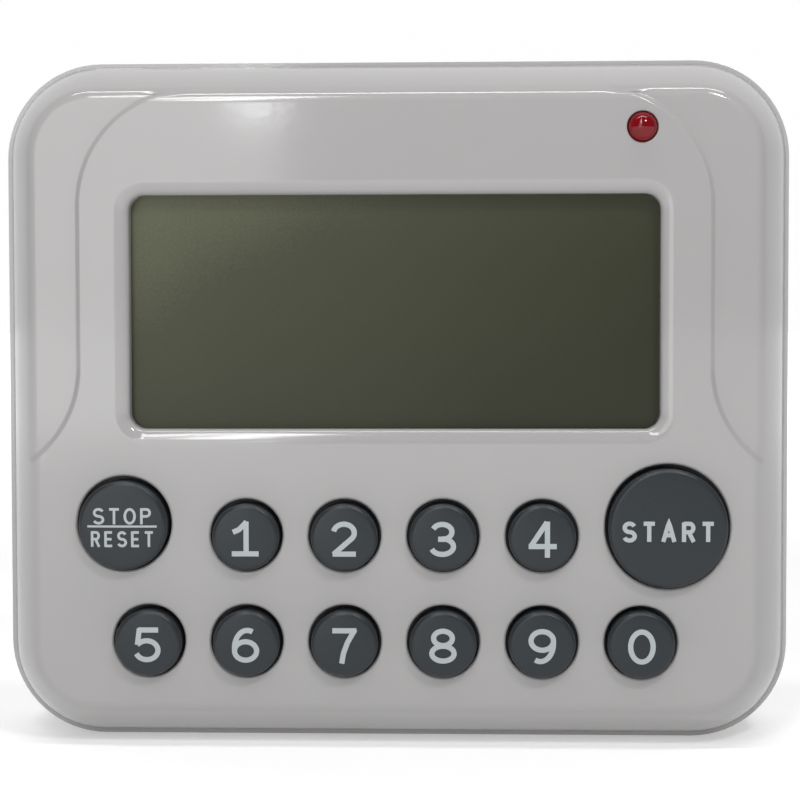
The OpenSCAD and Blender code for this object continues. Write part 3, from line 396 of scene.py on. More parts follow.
# Points of the shell that lie closer than this, in millimetres, are one
WELD = 0.002


def at_depth(loop, depth):
    """Points (x, depth, z) of a loop drawn on the face."""
    return np.stack([loop[:, 0], np.broadcast_to(depth, len(loop)), loop[:, 1]], 1)


def inner_inset(depth):
    """Inset of the inside wall of the band at a depth."""
    s = np.maximum(math.sin(RIM_SLOPE), math.sin(BAND_SLOPE) - (depth - BAND_DEPTH_1) / BAND_R)
    return BAND_INSET_1 - BAND_R * (np.sqrt(1 - s * s) - math.cos(BAND_SLOPE)) + SHELL_WALL


def to_middle(loop, place):
    """Level directions from a round hole's wall to its middle."""
    away = loop - np.array(place)
    away = away / np.linalg.norm(away, axis=1)[:, None]
    return np.stack([-away[:, 0], np.zeros(len(loop)), -away[:, 1]], 1)


def set_down(name, mesh, body):
    """Links a finished mesh as a piece that rides on a body."""
    obj = bpy.data.objects.new(name, mesh)
    scene.collection.objects.link(obj)
    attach(obj, body)
    return obj


class Solid:
    """Collects faces in millimetres (x, depth, z), with the directions that they shine in."""

    def __init__(self):
        self.points, self.faces, self.normals, self.welded = [], [], [], {}

    def add(self, points, faces, normals=None):
        """Adds points and faces; normals is one per point, or None for flat faces."""
        points = np.asarray(points, float)
        index = []
        for p in np.round(points, 5):
            key = tuple(p)
            if key not in self.welded:
                self.welded[key] = len(self.points)
                self.points.append(key)
            index.append(self.welded[key])
        for face in faces:
            corners = [index[int(i)] for i in face]
            if len(set(corners)) < len(corners):
                continue
            self.faces.append(corners)
            own = None if normals is None else [tuple(normals[int(i)]) for i in face]
            self.normals.append(own)

    def strip(self, loop_a, loop_b, normal_a=None, normal_b=None):
        """Quads between two closed loops of the same length."""
        n = len(loop_a)
        faces = [(i, (i + 1) % n, n + (i + 1) % n, n + i) for i in range(n)]
        normals = None if normal_a is None else list(normal_a) + list(normal_b)
        self.add(list(loop_a) + list(loop_b), faces, normals)

    def post(self, place, outer, bore, depth_0, depth_1, steps=32):
        """A closed hollow post."""
        loops = [ring(place, r, steps) for r in (outer, bore)]
        ends = [at_depth(loops[i], d)
                for i, d in ((0, depth_0), (0, depth_1), (1, depth_1), (1, depth_0))]
        out, back = -to_middle(loops[0], place), to_middle(loops[1], place)
        self.strip(ends[0], ends[1], out, out)
        self.strip(ends[1], ends[2])
        self.strip(ends[2], ends[3], back, back)
        self.strip(ends[3], ends[0])

    def piece(self, name, material, body, slot=None):
        """Makes the object, welded, with its own normals, riding on a body."""
        tree = KDTree(len(self.points))
        for i, p in enumerate(self.points):
            tree.insert(p, i)
        tree.balance()
        same = [min(k for _, k, _ in tree.find_range(p, WELD)) for p in self.points]
        kept = sorted(set(same))
        index = {old: new for new, old in enumerate(kept)}
        faces, wanted = [], []
        for face, normals in zip(self.faces, self.normals):
            corners = [index[same[i]] for i in face]
            if len(set(corners)) == len(corners):
                faces.append(corners)
                wanted.append({} if normals is None else dict(zip(corners, normals)))
        co = np.array([self.points[i] for i in kept]) * MM
        co[:, 1] += FACE_Y
        mesh = bpy.data.meshes.new(name)
        mesh.from_pydata(co.tolist(), [], faces)
        work = bmesh.new()
        work.from_mesh(mesh)
        bmesh.ops.recalc_face_normals(work, faces=work.faces)
        work.to_mesh(mesh)
        work.free()
        mesh.materials.append(material)
        mesh.shade_smooth()
        corners = [wanted[face.index].get(mesh.loops[i].vertex_index, tuple(face.normal))
                   for face in mesh.polygons for i in face.loop_indices]
        mesh.normals_split_custom_set(corners)
        return set_down(name, mesh, body)


class Paint:
    """A finish in the making: its material, and where a point lies on the piece."""

    def __init__(self, name):
        self.material = bpy.data.materials.new(name)
        self.material.use_nodes = True
        self.tree = self.material.node_tree
        self.shader = self.tree.nodes["Principled BSDF"].inputs
        self.where = self.node("TexCoord", {})["Object"]

    def node(self, kind, inputs, **settings):
        return node(self.tree, kind, inputs, **settings)

    def cloud(self, scale, detail=2, vector=None):
        """Irregularity of the given fineness, from 0 to 1."""
        return self.node("TexNoise", {"Scale": scale, "Detail": detail,
                                      "Vector": vector or self.where})["Fac"]

    def set(self, **sockets):
        """Sets the shader's own constants; a name's underscores stand for spaces."""
        for socket, value in sockets.items():
            self.shader[socket.replace("_", " ")].default_value = value

    def feed(self, socket, output):
        self.tree.links.new(output, self.shader[socket])

    def shades(self, amount, first, last):
        """Colours the surface from one shade to the other."""
        ramp = self.tree.nodes.new("ShaderNodeValToRGB")
        ramp.color_ramp.elements[0].color = (*first, 1)
        ramp.color_ramp.elements[1].color = (*last, 1)
        self.tree.links.new(amount, ramp.inputs["Fac"])
        self.feed("Base Color", ramp.outputs["Color"])

    def uneven_gloss(self, amount, low, high):
        self.feed("Roughness", self.node("MapRange", {"To Min": low, "To Max": high,
                                                      "Value": amount})["Result"])

    def relief(self, height, strength, distance):
        self.feed("Normal", self.node("Bump", {"Strength": strength, "Distance": distance,
                                               "Height": height})["Normal"])


def moulded(name, colour, roughness, mottle=0.02, peel=0.03, peel_size=1.4 * MM):
    """Moulded plastic: faint cloudiness in the colour, a little orange peel in the gloss."""
    paint = Paint(name)
    cloud = paint.cloud(60, 3)
    paint.shades(cloud, [c * (1 - mottle) for c in colour],
                 [min(1, c * (1 + mottle)) for c in colour])
    paint.uneven_gloss(cloud, roughness * 0.85, roughness * 1.15)
    paint.relief(paint.cloud(1 / peel_size), peel, 0.2 * MM)
    return paint.material


def dull(material, level):
    """Sets how strongly a finish mirrors its surroundings; 0.5 is common plastic."""
    shader = material.node_tree.nodes["Principled BSDF"]
    shader.inputs["Specular IOR Level"].default_value = level
    return material


def dress(material, *names):
    """Gives CAD nodes, which keep their shape, a finished material."""
    for name in names:
        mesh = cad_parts[name].data
        mesh.materials.clear()
        mesh.materials.append(material)


housing_abs = moulded("housing_abs", (0.340, 0.333, 0.332), 0.09, mottle=0.012)

TONGUE_T = 0.65
TONGUE_GAP = 0.15
TONGUE_LEN = 1.2
PARTING = PARTING_D - PARTING_GAP
REBATE_D = PARTING_D - TONGUE_LEN - TONGUE_GAP
REBATE_INSET = RIM_INSET + SHELL_WALL - TONGUE_T - TONGUE_GAP


def facing(loop, sign, width, height, radius, mid_z):
    """Level directions across a round-cornered rectangle's edge; sign 1 is outwards."""
    e = 0.01
    dx = box_inset(loop + (e, 0), width, height, radius, mid_z)
    dx = dx - box_inset(loop - (e, 0), width, height, radius, mid_z)
    dz = box_inset(loop + (0, e), width, height, radius, mid_z)
    dz = dz - box_inset(loop - (0, e), width, height, radius, mid_z)
    n = -sign * np.stack([dx, np.zeros(len(loop)), dz], 1)
    return n / np.linalg.norm(n, axis=1)[:, None]


def build_front_shell():
    shell = Solid()
    flat, tri = shell_skin()
    depth = face_depth(flat)
    shell.add(at_depth(flat, depth), tri, face_normal(flat))
    # Rim, rebate for the rear shell's tongue, and the inside of the band
    level = facing(outline(RIM_INSET), 1, SHELL_W, SHELL_H, SHELL_R, MID_Z)
    rim = outline(RIM_INSET)
    shell.strip(at_depth(rim, face_depth(rim)), at_depth(rim, PARTING), level, level)
    down = [(PARTING, RIM_INSET), (PARTING, REBATE_INSET), (REBATE_D, REBATE_INSET),
            (REBATE_D, float(inner_inset(REBATE_D)))]
    for (d0, i0), (d1, i1) in zip(down, down[1:]):
        shell.strip(at_depth(outline(i0), d0), at_depth(outline(i1), d1))
    inside = [(d, float(inner_inset(d))) for d in np.linspace(REBATE_D, FACE_T, 7)]
    for (d0, i0), (d1, i1) in zip(inside, inside[1:]):
        shell.strip(at_depth(outline(i0), d0), at_depth(outline(i1), d1), -level, -level)
    # Walls of the window, key holes and lamp hole
    wall_loops = [(window_loop(0),
                   lambda p: facing(p, -1, WINDOW_W, WINDOW_H, WINDOW_R, WINDOW_Z))]
    for name, (place, r) in list(keys.items()) + [("lamp", (LAMP_PLACE, LAMP_HOLE_R))]:
        steps = hole_steps.get(name, 40)
        wall_loops.append((ring(place, r, steps), lambda p, place=place: to_middle(p, place)))
    for loop, way in wall_loops:
        inward = way(loop)
        shell.strip(at_depth(loop, FACE_T), at_depth(loop, face_depth(loop)), inward, inward)
    # Inner face
    edge_inset = float(inner_inset(FACE_T))
    inner, tri = sheet_between([outline(edge_inset)] + [loop for loop, _ in wall_loops], [],
                               off_the_holes(), lambda m: np.full(len(m), True))
    shell.add(at_depth(inner, FACE_T), tri[:, ::-1])
    # Posts for the four case screws and the five board screws, rooted 0.1 mm in the face
    for x in (-1, 1):
        for z in (SCREW_INSET, SHELL_H - SCREW_INSET):
            shell.post((x * (SHELL_W / 2 - SCREW_INSET), z), *SCREW_POST, FACE_T - 0.1,
                       SCREW_POST_END)
    for place in BOARD_POSTS:
        shell.post(place, *BOARD_POST, FACE_T - 0.1, BOARD_D)
    return shell


front = build_front_shell().piece("front_cover", housing_abs, "case", "housing")
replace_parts(front, "front_shell")
dress(housing_abs, "front_shell")

# --------------------------------------
# Display: a polariser film with a fine matt grain on the front glass, the rear glass, and a
# metallised reflector. A moulded frame presses the stack to the face, and a striped rubber
# strip joins the front glass to the board.
# --------------------------------------
def grained(name, light, dark, roughness, grain_size, painted_light=None, grain=0.05):
    """Film or board: a slow change from a light to a dark shade, with a fine grain. With
    painted_light, a (way, start, end) triple, it also paints light: the light shade at the start
    of the way, the dark shade at its end.
    """
    paint = Paint(name)
    paint.set(Roughness=roughness)
    speck = paint.cloud(1 / grain_size)
    slow = paint.cloud(45)
    # Painted light: along the given way the colour goes from the light shade to the dark one, as
    # the light falls
    if painted_light:
        way, start, end = painted_light
        along = paint.node("VectorMath", {0: paint.where, 1: way}, operation="DOT_PRODUCT")
        place = paint.node("MapRange", {"From Min": start, "From Max": end,
                                        "Value": along["Value"]})
        slow = paint.node("Math", {0: slow, 1: 0.22, 2: place["Result"]},
                          operation="MULTIPLY_ADD")["Value"]
    amount = paint.node("Math", {0: speck, 1: grain, 2: slow}, operation="MULTIPLY_ADD")
    paint.shades(amount["Value"], light, dark)
    return paint


def clear(name, colour, roughness=0.02, ior=1.5, through=0.9):
    """Clear glass or resin with a tint."""
    paint = Paint(name)
    paint.set(Transmission_Weight=through, IOR=ior, Roughness=roughness)
    paint.shades(paint.cloud(300), [c * 0.97 for c in colour], colour)
    return paint.material


# Painted light: the polariser is painted lighter at the upper left and darker towards the lower
# right, as the light falls on the display
film_low, film_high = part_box("lcd_front_polariser")
painted_light_way = Vector((0.45, 0, -0.89))
painted_light_from = painted_light_way.dot(Vector((film_low.x, 0, film_high.z)))
painted_light_to = painted_light_way.dot(Vector((film_high.x, 0, film_low.z)))
polariser = dull(grained("polariser_film", (0.135, 0.142, 0.080), (0.020, 0.022, 0.009), 0.36,
                         0.22 * MM, (painted_light_way, painted_light_from, painted_light_to), 0.20).material, 0.30)
film_middle = polariser.node_tree.nodes["Color Ramp"].color_ramp.elements.new(0.52)
film_middle.color = (0.040, 0.043, 0.022, 1)
dress(polariser, "lcd_front_polariser")
dress(clear("display_glass", (0.86, 0.93, 0.89)), "lcd_front_glass", "lcd_rear_glass")
dress(grained("reflector_film", (0.55, 0.56, 0.52), (0.42, 0.43, 0.39), 0.35,
              0.3 * MM).material, "lcd_reflector")
dress(moulded("holder_plastic", (0.78, 0.78, 0.76), 0.42), "lcd_holder")
dress(moulded("silicone_rubber", (0.30, 0.32, 0.33), 0.62, mottle=0.05, peel=0.08),
      "contact_strip")

# --------------------------------------
# Keys: twelve round caps moulded in slate ABS with a satin skin, a soft edge and a
# faint crown. Each has a flange that keeps it in the case and a stem down to the keypad
# mat. The legends are pad printed: plain strokes of light grey ink, 0.02 mm thick.
# --------------------------------------
CAP_PROUD = 1.3
CAP_CROWN = 0.14
CAP_EDGE_R = 0.5
FLANGE = 0.85
FLANGE_D = 2.1
FLANGE_T = 0.8
STEM_D = 3.5
STEM_INSET = 1.2
INK_T = 0.02

key_abs = dull(moulded("key_abs", (0.020, 0.0245, 0.028), 0.34, mottle=0.03, peel=0.10,
                       peel_size=0.35 * MM), 0.32)
legend_ink = moulded("legend_ink", (0.37, 0.40, 0.41), 0.42, mottle=0.02)


def lathe(profile, place, steps=64, along="y"):
    """Points and faces of a solid of revolution, from (radius, distance) points."""
    points, faces, rings = [], [], []
    for radius, distance in profile:
        count = 1 if radius < 1e-6 else steps
        rings.append([len(points) + k % count for k in range(steps)])
        for k in range(count):
            u = radius * math.cos(2 * math.pi * k / steps)
            v = radius * math.sin(2 * math.pi * k / steps)
            points.append((place[0] + u, distance, place[1] + v) if along == "y"
                          else (distance, place[0] + u, place[1] + v))
    for lower, upper in zip(rings, rings[1:]):
        for k in range(steps):
            nxt = (k + 1) % steps
            face = list(dict.fromkeys((lower[k], upper[k], upper[nxt], lower[nxt])))
            if len(face) > 2:
                faces.append(face)
    return points, faces


def together(*solids):
    """Joins (points, faces) pairs into one."""
    points, faces = [], []
    for more_points, more_faces in solids:
        start = len(points)
        points += list(more_points)
        faces += [[start + i for i in f] for f in more_faces]
    return points, faces


def turned(name, profile, place, paint, body, steps=64, slot=None, sharp=35):
    """One turned piece about the depth axis."""
    points, faces = lathe(profile, place, steps)
    return finished(name, points, faces, paint, body, slot, sharp)


def finished(name, points, faces, paint, body, slot=None, sharp=35):
    """Makes a piece from millimetre points (x, depth, z), with its faces turned outwards."""
    mesh = bpy.data.meshes.new(name)
    co = np.array(points, float) * MM
    co[:, 1] += FACE_Y
    mesh.from_pydata(co.tolist(), [], [list(f) for f in faces])
    work = bmesh.new()
    work.from_mesh(mesh)
    bmesh.ops.remove_doubles(work, verts=work.verts, dist=1e-7)
    bmesh.ops.recalc_face_normals(work, faces=work.faces)
    work.to_mesh(mesh)
    work.free()
    mesh.materials.append(paint)
    mesh.shade_smooth()
    mesh.set_sharp_from_angle(angle=math.radians(sharp))
    return set_down(name, mesh, body)


def crown_depth(r, cap_r):
    """Depth of a cap's top at radius r."""
    return -CAP_PROUD + CAP_CROWN * (r / cap_r) ** 2


def cap_profile(hole_r):
    r = hole_r - KEY_GAP
    flat_r = r - CAP_EDGE_R
    top = [(flat_r * i / 6, crown_depth(flat_r * i / 6, r)) for i in range(7)]
    d = crown_depth(flat_r, r)
    edge = [(flat_r + CAP_EDGE_R * math.sin(t), d + CAP_EDGE_R * (1 - math.cos(t)))
            for t in np.radians(np.linspace(12, 86, 8))]
    flange_r = hole_r + FLANGE - KEY_GAP / 2
    return top + edge + [(r, FLANGE_D), (flange_r - 0.1, FLANGE_D), (flange_r, FLANGE_D + 0.1),
                         (flange_r, FLANGE_D + FLANGE_T), (r - STEM_INSET, FLANGE_D + FLANGE_T),
                         (r - STEM_INSET, STEM_D), (0, STEM_D)]


def short(key_name):
    return key_name.replace("key_", "").replace("_key", "")


def cap_place(key_name):
    """Middle of a cap, which hangs a little low in its hole."""
    x, z = keys[key_name][0]
    return (x, z - KEY_SAG)


for name, (_, hole_r) in keys.items():
    cap = turned("cap_" + short(name), cap_profile(hole_r), cap_place(name), key_abs, name, 72,
                 "key")
    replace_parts(cap, name)
    dress(key_abs, name)


def sweep(cx, cz, rx, rz, start, end, steps=20):
    """Points along a stretch of an ellipse."""
    return [(cx + rx * math.cos(t), cz + rz * math.sin(t))
            for t in np.radians(np.linspace(start, end, steps + 1))]


# Legends as pen strokes in a box from -1 to 1 both ways
STROKES = {
    "0": [sweep(0, 0, 1, 1, 0, 360, 40)],
    "1": [[(0.10, -1), (0.10, 1.16)], [(-1.08, 0.44), (-0.55, 0.62), (-0.05, 0.98), (0.14, 1.16)],
          [(-1.20, -1), (1.22, -1)]],
    "2": [sweep(0.02, 0.42, 0.93, 0.58, 170, -38) + [(-0.93, -1.02)], [(-1.0, -1), (1.08, -1)]],
    "3": [sweep(-0.05, 0.50, 0.86, 0.50, 158, -90), sweep(-0.05, -0.48, 1.0, 0.52, 90, -160),
          [(-0.42, 0.01), (0.02, 0.01)]],
    "4": [[(0.42, 1.16), (-1.02, -0.44)], [(-1.22, -0.46), (1.28, -0.46)],
          [(0.45, 1.2), (0.45, -1.2)]],
    "5": [[(-0.82, 1), (0.98, 1)], [(-0.72, 1.1), (-0.90, 0.0)],
          sweep(-0.06, -0.36, 1.02, 0.64, 146, -158)],
    "6": [sweep(0, -0.38, 1.0, 0.62, 0, 360, 36), sweep(0.16, -0.2, 1.16, 1.2, 66, 190)],
    "7": [[(-1.05, 1), (1.1, 1)], [(0.98, 1.1), (0.30, 0.20), (-0.05, -0.50), (-0.22, -1.2)]],
    "8": [sweep(0, 0.52, 0.84, 0.48, 0, 360, 32), sweep(0, -0.50, 1.0, 0.50, 0, 360, 32)],
    "9": [sweep(0, 0.38, 1.0, 0.62, 0, 360, 36), sweep(-0.16, 0.2, 1.16, 1.2, 246, 370)],
    "S": [sweep(0, 0.5, 0.92, 0.5, 22, 270) + sweep(0, -0.5, 0.97, 0.5, 90, -160)[1:]],
    "T": [[(-1.05, 1), (1.05, 1)], [(0, 1.1), (0, -1.15)]],
    "A": [[(-1.05, -1.15), (0, 1.18), (1.05, -1.15)], [(-0.66, -0.36), (0.66, -0.36)]],
    "R": [[(-0.85, -1.15), (-0.85, 1.15)], [(0.05, 0), (0.98, -1.15)],
          [(-0.9, 1), (0.2, 1)] + sweep(0.2, 0.5, 0.68, 0.5, 80, -80, 12) + [(0.2, 0), (-0.9, 0)]],
    "O": [sweep(0, 0, 1.05, 1, 0, 360, 36)],
    "P": [[(-0.85, -1.15), (-0.85, 1.15)],
          [(-0.9, 1), (0.2, 1)] + sweep(0.2, 0.5, 0.72, 0.5, 80, -80, 12) + [(0.2, 0), (-0.9, 0)]],
    "E": [[(-0.82, -1.15), (-0.82, 1.15)], [(-0.9, 1), (0.9, 1)], [(-0.9, 0), (0.75, 0)],
          [(-0.9, -1), (0.92, -1)]],
}


def pen_line(points, width):
    """Outline of a pen stroke of the given width, mitred at its bends."""
    p = np.array(points, float)
    ahead = np.diff(p, axis=0)
    ahead = ahead / np.linalg.norm(ahead, axis=1)[:, None]
    side = np.stack([-ahead[:, 1], ahead[:, 0]], 1)
    looped = np.allclose(p[0], p[-1])
    first = side[0] + side[-1] if looped else side[0]
    last = first if looped else side[-1]
    joint = np.vstack([[first], side[:-1] + side[1:], [last]])
    joint = joint / np.linalg.norm(joint, axis=1)[:, None]
    near = np.vstack([side, side[-1:]])
    reach = width / 2 / np.maximum((joint * near).sum(1), 0.5)
    return p + joint * reach[:, None], p - joint * reach[:, None]


def evenly(line, longest):
    """Adds points to a line, so that it can follow the crown of a cap."""
    points = [line[0]]
    for (x_0, z_0), (x_1, z_1) in zip(line, line[1:]):
        count = math.ceil(math.hypot(x_1 - x_0, z_1 - z_0) / longest)
        points += [(x_0 + (x_1 - x_0) * k / count, z_0 + (z_1 - z_0) * k / count)
                   for k in range(1, count + 1)]
    return points


def lettering(name, words, place, cap_r, body):
    """Raised ink on a key's crown. words: (text, middle x, middle z, width, height, pen)."""
    corners, quads = [], []
    for text, mid_x, mid_z, width, height, pen in words:
        pitch = width / len(text)
        letter_w = (width if len(text) == 1 else pitch * 0.76) - pen
        for i, letter in enumerate(text):
            x = mid_x - width / 2 + pitch * (i + 0.5)
            for stroke in STROKES.get(letter, [[(-1, 0), (1, 0)]]):
                line = evenly([(x + u * letter_w / 2, mid_z + v * (height - pen) / 2)
                               for u, v in stroke], 0.35)
                left, right = pen_line(line, pen)
                for k in range(len(line) - 1):
                    quad = [left[k], left[k + 1], right[k + 1], right[k]]
                    (ax, az), (bx, bz), (cx, cz), (dx, dz) = quad
                    if (cx - ax) * (dz - bz) - (cz - az) * (dx - bx) < 0:
                        quad = quad[::-1]
                    quads.append(list(range(len(corners), len(corners) + 4)))
                    corners += [Vector(c) for c in quad]
    flat, _, faces, _, _, inside = delaunay_2d_cdt(corners, [], quads, 0, 1e-4, True)
    faces = [f for f, own in zip(faces, inside) if own]
    used = sorted({v for f in faces for v in f})
    index = {v: i for i, v in enumerate(used)}
    faces = [[index[v] for v in f] for f in faces]
    top = [(place[0] + flat[v].x, crown_depth(flat[v].length, cap_r) - INK_T,
            place[1] + flat[v].y) for v in used]
    base = [(x, d + 1.5 * INK_T, z) for x, d, z in top]
    n = len(top)
    rims = {}
    for f in faces:
        for a, b in zip(f, f[1:] + f[:1]):
            rims[(a, b)] = rims.get((a, b), 0) + 1
    walls = [(a, b, b + n, a + n) for a, b in rims if (b, a) not in rims]
    return finished(name, top + base, faces + [[v + n for v in f[::-1]] for f in faces] + walls,
                    legend_ink, body, None, 30)


for name, (_, hole_r) in keys.items():
    if name == "start_key":
        words = [("START", 0.0, -0.30, 9.7, 2.10, 0.42)]
    elif name == "stop_reset_key":
        words = [("STOP", 0.0, 0.97, 6.3, 1.66, 0.26), ("-", 0.0, -0.05, 7.2, 0.5, 0.21),
                 ("RESET", 0.0, -1.33, 6.75, 1.62, 0.26)]
    else:
        words = [(name[-1], 0.0, -0.12, 2.75, 3.52, 0.52)]
    lettering("legend_" + short(name), words, cap_place(name), hole_r - KEY_GAP, name)

# --------------------------------------
# Signal lamp: a standard 3 mm lamp in clear red epoxy, cast round two steel leads, one of
# which ends in a small reflector cup. Its flange rests behind the face.
# --------------------------------------
LAMP_R = 1.5
LAMP_PROUD = 1.0
LAMP_BASE_D = 4.3
LAMP_FLANGE = 0.4
LAMP_FLANGE_T = 1.0
lamp_epoxy = dull(clear("lamp_epoxy", (0.30, 0.002, 0.009), 0.10, 1.54, 0.55), 0.12)
lamp_dome = [(LAMP_R * math.sin(t), -LAMP_PROUD + LAMP_R * (1 - math.cos(t)))
             for t in np.radians(np.linspace(0, 90, 14))]
flange_front = LAMP_BASE_D - LAMP_FLANGE_T
lamp_base = [(LAMP_R, flange_front), (LAMP_R + LAMP_FLANGE, flange_front),
             (LAMP_R + LAMP_FLANGE, LAMP_BASE_D), (0, LAMP_BASE_D)]
lens = turned("lamp_lens", lamp_dome + lamp_base, LAMP_PLACE, lamp_epoxy, "case", 48, "lamp")
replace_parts(lens, "led_lens")
dress(lamp_epoxy, "led_lens")
lamp_core = moulded("lamp_core", (0.36, 0.004, 0.012), 0.5)
turned("lamp_inside", [(0, 0.9), (1.1, 0.9), (1.25, 1.2), (1.25, 3.9), (0, 3.9)], LAMP_PLACE,
       lamp_core, "case", 32)

# --------------------------------------
# Rear shell, battery door with its springy latch, and stand: the same glossy ABS, moulded
# with a battery bay, a stand pocket, magnet pockets and sound holes. Tool-made edges are
# eased by a small radius. Their grey is painted lighter than the front shell's, as painted
# light on the rear shell's rim at the parting line.
# --------------------------------------
def ease_edges(name, width, angle=32):
    """Breaks the sharp edges of a CAD node."""
    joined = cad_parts[name].modifiers.new("joined", "WELD")
    joined.merge_threshold = 1e-6
    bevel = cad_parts[name].modifiers.new("eased_edges", "BEVEL")
    bevel.width = width
    bevel.segments = 2
    bevel.limit_method = "ANGLE"
    bevel.angle_limit = math.radians(angle)
    bevel.harden_normals = True


# Painted light: the rear mouldings are painted a lighter grey than the front shell, so that the
# rear shell's rim at the parting line looks lit
rear_abs_painted_light = moulded("rear_abs_painted_light", (0.415, 0.408, 0.406), 0.09, mottle=0.012)
dress(rear_abs_painted_light, "back_shell", "battery_door", "battery_door_latch", "stand")
for moulding in ("back_shell", "battery_door", "battery_door_latch", "stand"):
    ease_edges(moulding, 0.12 * MM)

GRIP_COUNT = 4
GRIP_HALF_W = 5.0
GRIP_R = 0.3
GRIP_LOW_Z = 53.2
GRIP_PITCH = 1.3
DOOR_BACK_D = 22.0
ribs = []
for i in range(GRIP_COUNT):
    z = GRIP_LOW_Z + GRIP_PITCH * i
    line = [(-GRIP_HALF_W, 0), (-GRIP_HALF_W + 0.12, GRIP_R * 0.7), (-GRIP_HALF_W + 0.4, GRIP_R),
            (GRIP_HALF_W - 0.4, GRIP_R), (GRIP_HALF_W - 0.12, GRIP_R * 0.7), (GRIP_HALF_W, 0)]
    ribs.append(lathe([(r, x) for x, r in line], (DOOR_BACK_D - 0.05, z), 20, "x"))
finished("door_grip", *together(*ribs), rear_abs_painted_light, "battery_door", "housing")

# --------------------------------------
# Screws: four cross-head tapping screws through the rear shell into the front shell's
# posts, and five smaller ones that hold the circuit board. Zinc-plated steel.
# --------------------------------------
def metal(name, colour, roughness, scratch=0.12, grain=900):
    """Plated or bare metal with fine rubbing marks and a little tarnish."""
    paint = Paint(name)
    paint.set(Metallic=1.0)
    cloud = paint.cloud(250, 4)
    paint.shades(cloud, [c * 0.82 for c in colour], colour)
    paint.uneven_gloss(cloud, roughness * 0.75, roughness * 1.35)
    drawn_out = paint.node("Mapping", {"Scale": (1, 1, 9), "Vector": paint.where})["Vector"]
    paint.relief(paint.cloud(grain, vector=drawn_out), scratch, 0.05 * MM)
    return paint.material


zinc = metal("zinc_plate", (0.66, 0.67, 0.68), 0.28)


def cross(length, half_width):
    """Outline of a cross recess, anticlockwise."""
    a, w = length, half_width
    return [(a, -w), (a, w), (w, w), (w, a), (-w, a), (-w, w), (-a, w), (-a, -w), (-w, -w),
            (-w, -a), (w, -a), (w, -w)]


def cross_head_screw(place, top, head_t, head_r, core_r, length, pitch, steps=32):
    """A pan-head tapping screw that points to the face; top is the depth of its head."""
    under = top - head_t
    rim_r = head_r * 0.74
    dome = [(head_r, under), (head_r, top - head_t * 0.45)]
    dome += [(rim_r + (head_r - rim_r) * math.cos(t), top - head_t * 0.45 * (1 - math.sin(t)))
             for t in np.radians(np.linspace(22, 90, 5))]
    head = lathe([(core_r, under)] + dome, place, steps)
    outer, inner = cross(head_r * 0.56, head_r * 0.15), cross(head_r * 0.34, head_r * 0.09)
    loop = [tuple(p) for p in ring((0, 0), rim_r, steps)]
    corners = [Vector(p) for p in loop + outer]
    lines = [(i, (i + 1) % steps) for i in range(steps)]
    lines += [(steps + i, steps + (i + 1) % 12) for i in range(12)]
    flat, _, faces, *_ = delaunay_2d_cdt(corners, lines, [], 0, 1e-5)
    arm, half = head_r * 0.56, head_r * 0.15
    top_faces = []
    for f in faces:
        x = abs(sum(flat[i].x for i in f) / len(f))
        z = abs(sum(flat[i].y for i in f) / len(f))
        if not ((x < arm and z < half) or (z < arm and x < half)):
            top_faces.append(f)
    top_plate = ([(place[0] + v.x, top, place[1] + v.y) for v in flat], top_faces)
    pit = top - head_t * 0.6
    walls = [(place[0] + x, top, place[1] + z) for x, z in outer]
    walls += [(place[0] + x, pit, place[1] + z) for x, z in inner]
    recess = (walls, [(i, (i + 1) % 12, 12 + (i + 1) % 12, 12 + i) for i in range(12)]
              + [(12 + 2, 12 + 5, 12 + 8, 12 + 11), (12, 13, 14, 23), (14, 15, 16, 17),
                 (17, 18, 19, 20), (20, 21, 22, 23)])
    thread_len = length - head_t
    count = int(thread_len / pitch * 6)
    rings, quads = [], []
    for i in range(count + 1):
        d = under - thread_len * i / count
        tip = min(1.0, (count - i) / (count * 0.2) * 0.65 + 0.35)
        for k in range(steps):
            t = 2 * math.pi * k / steps
            turn = (d / pitch + k / steps) % 1
            crest = max(0, 1 - abs(2 * turn - 1) * 1.7) * 0.2 * (0 < i < count)
            r = core_r * tip + crest
            rings.append((place[0] + r * math.cos(t), d, place[1] + r * math.sin(t)))
    for i in range(count):
        for k in range(steps):
            a, b = i * steps + k, i * steps + (k + 1) % steps
            quads.append((a, b, b + steps, a + steps))
    rings.append((place[0], under - thread_len, place[1]))
    quads += [(count * steps + k, count * steps + (k + 1) % steps, len(rings) - 1)
              for k in range(steps)]
    return together(head, top_plate, recess, (rings, quads))


case_places = [(sx * (SHELL_W / 2 - SCREW_INSET), z)
               for sx in (-1, 1) for z in (SCREW_INSET, SHELL_H - SCREW_INSET)]
# Depth of the head, its thickness and radius, then the thread's radius, length and pitch
CASE_SCREW = (15.6, 1.4, 1.9, 0.82, 9.4, 0.8)
BOARD_SCREW = (8.2, 1.0, 1.6, 0.66, 4.6, 0.6)
case_set = together(*[cross_head_screw(p, *CASE_SCREW) for p in case_places])
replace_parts(finished("case_screw_set", *case_set, zinc, "case", "steel"), "case_screws")
board_set = together(*[cross_head_screw(p, *BOARD_SCREW) for p in BOARD_POSTS])
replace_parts(finished("board_screw_set", *board_set, zinc, "case", "steel"), "board_screws")
dress(zinc, "case_screws", "board_screws")

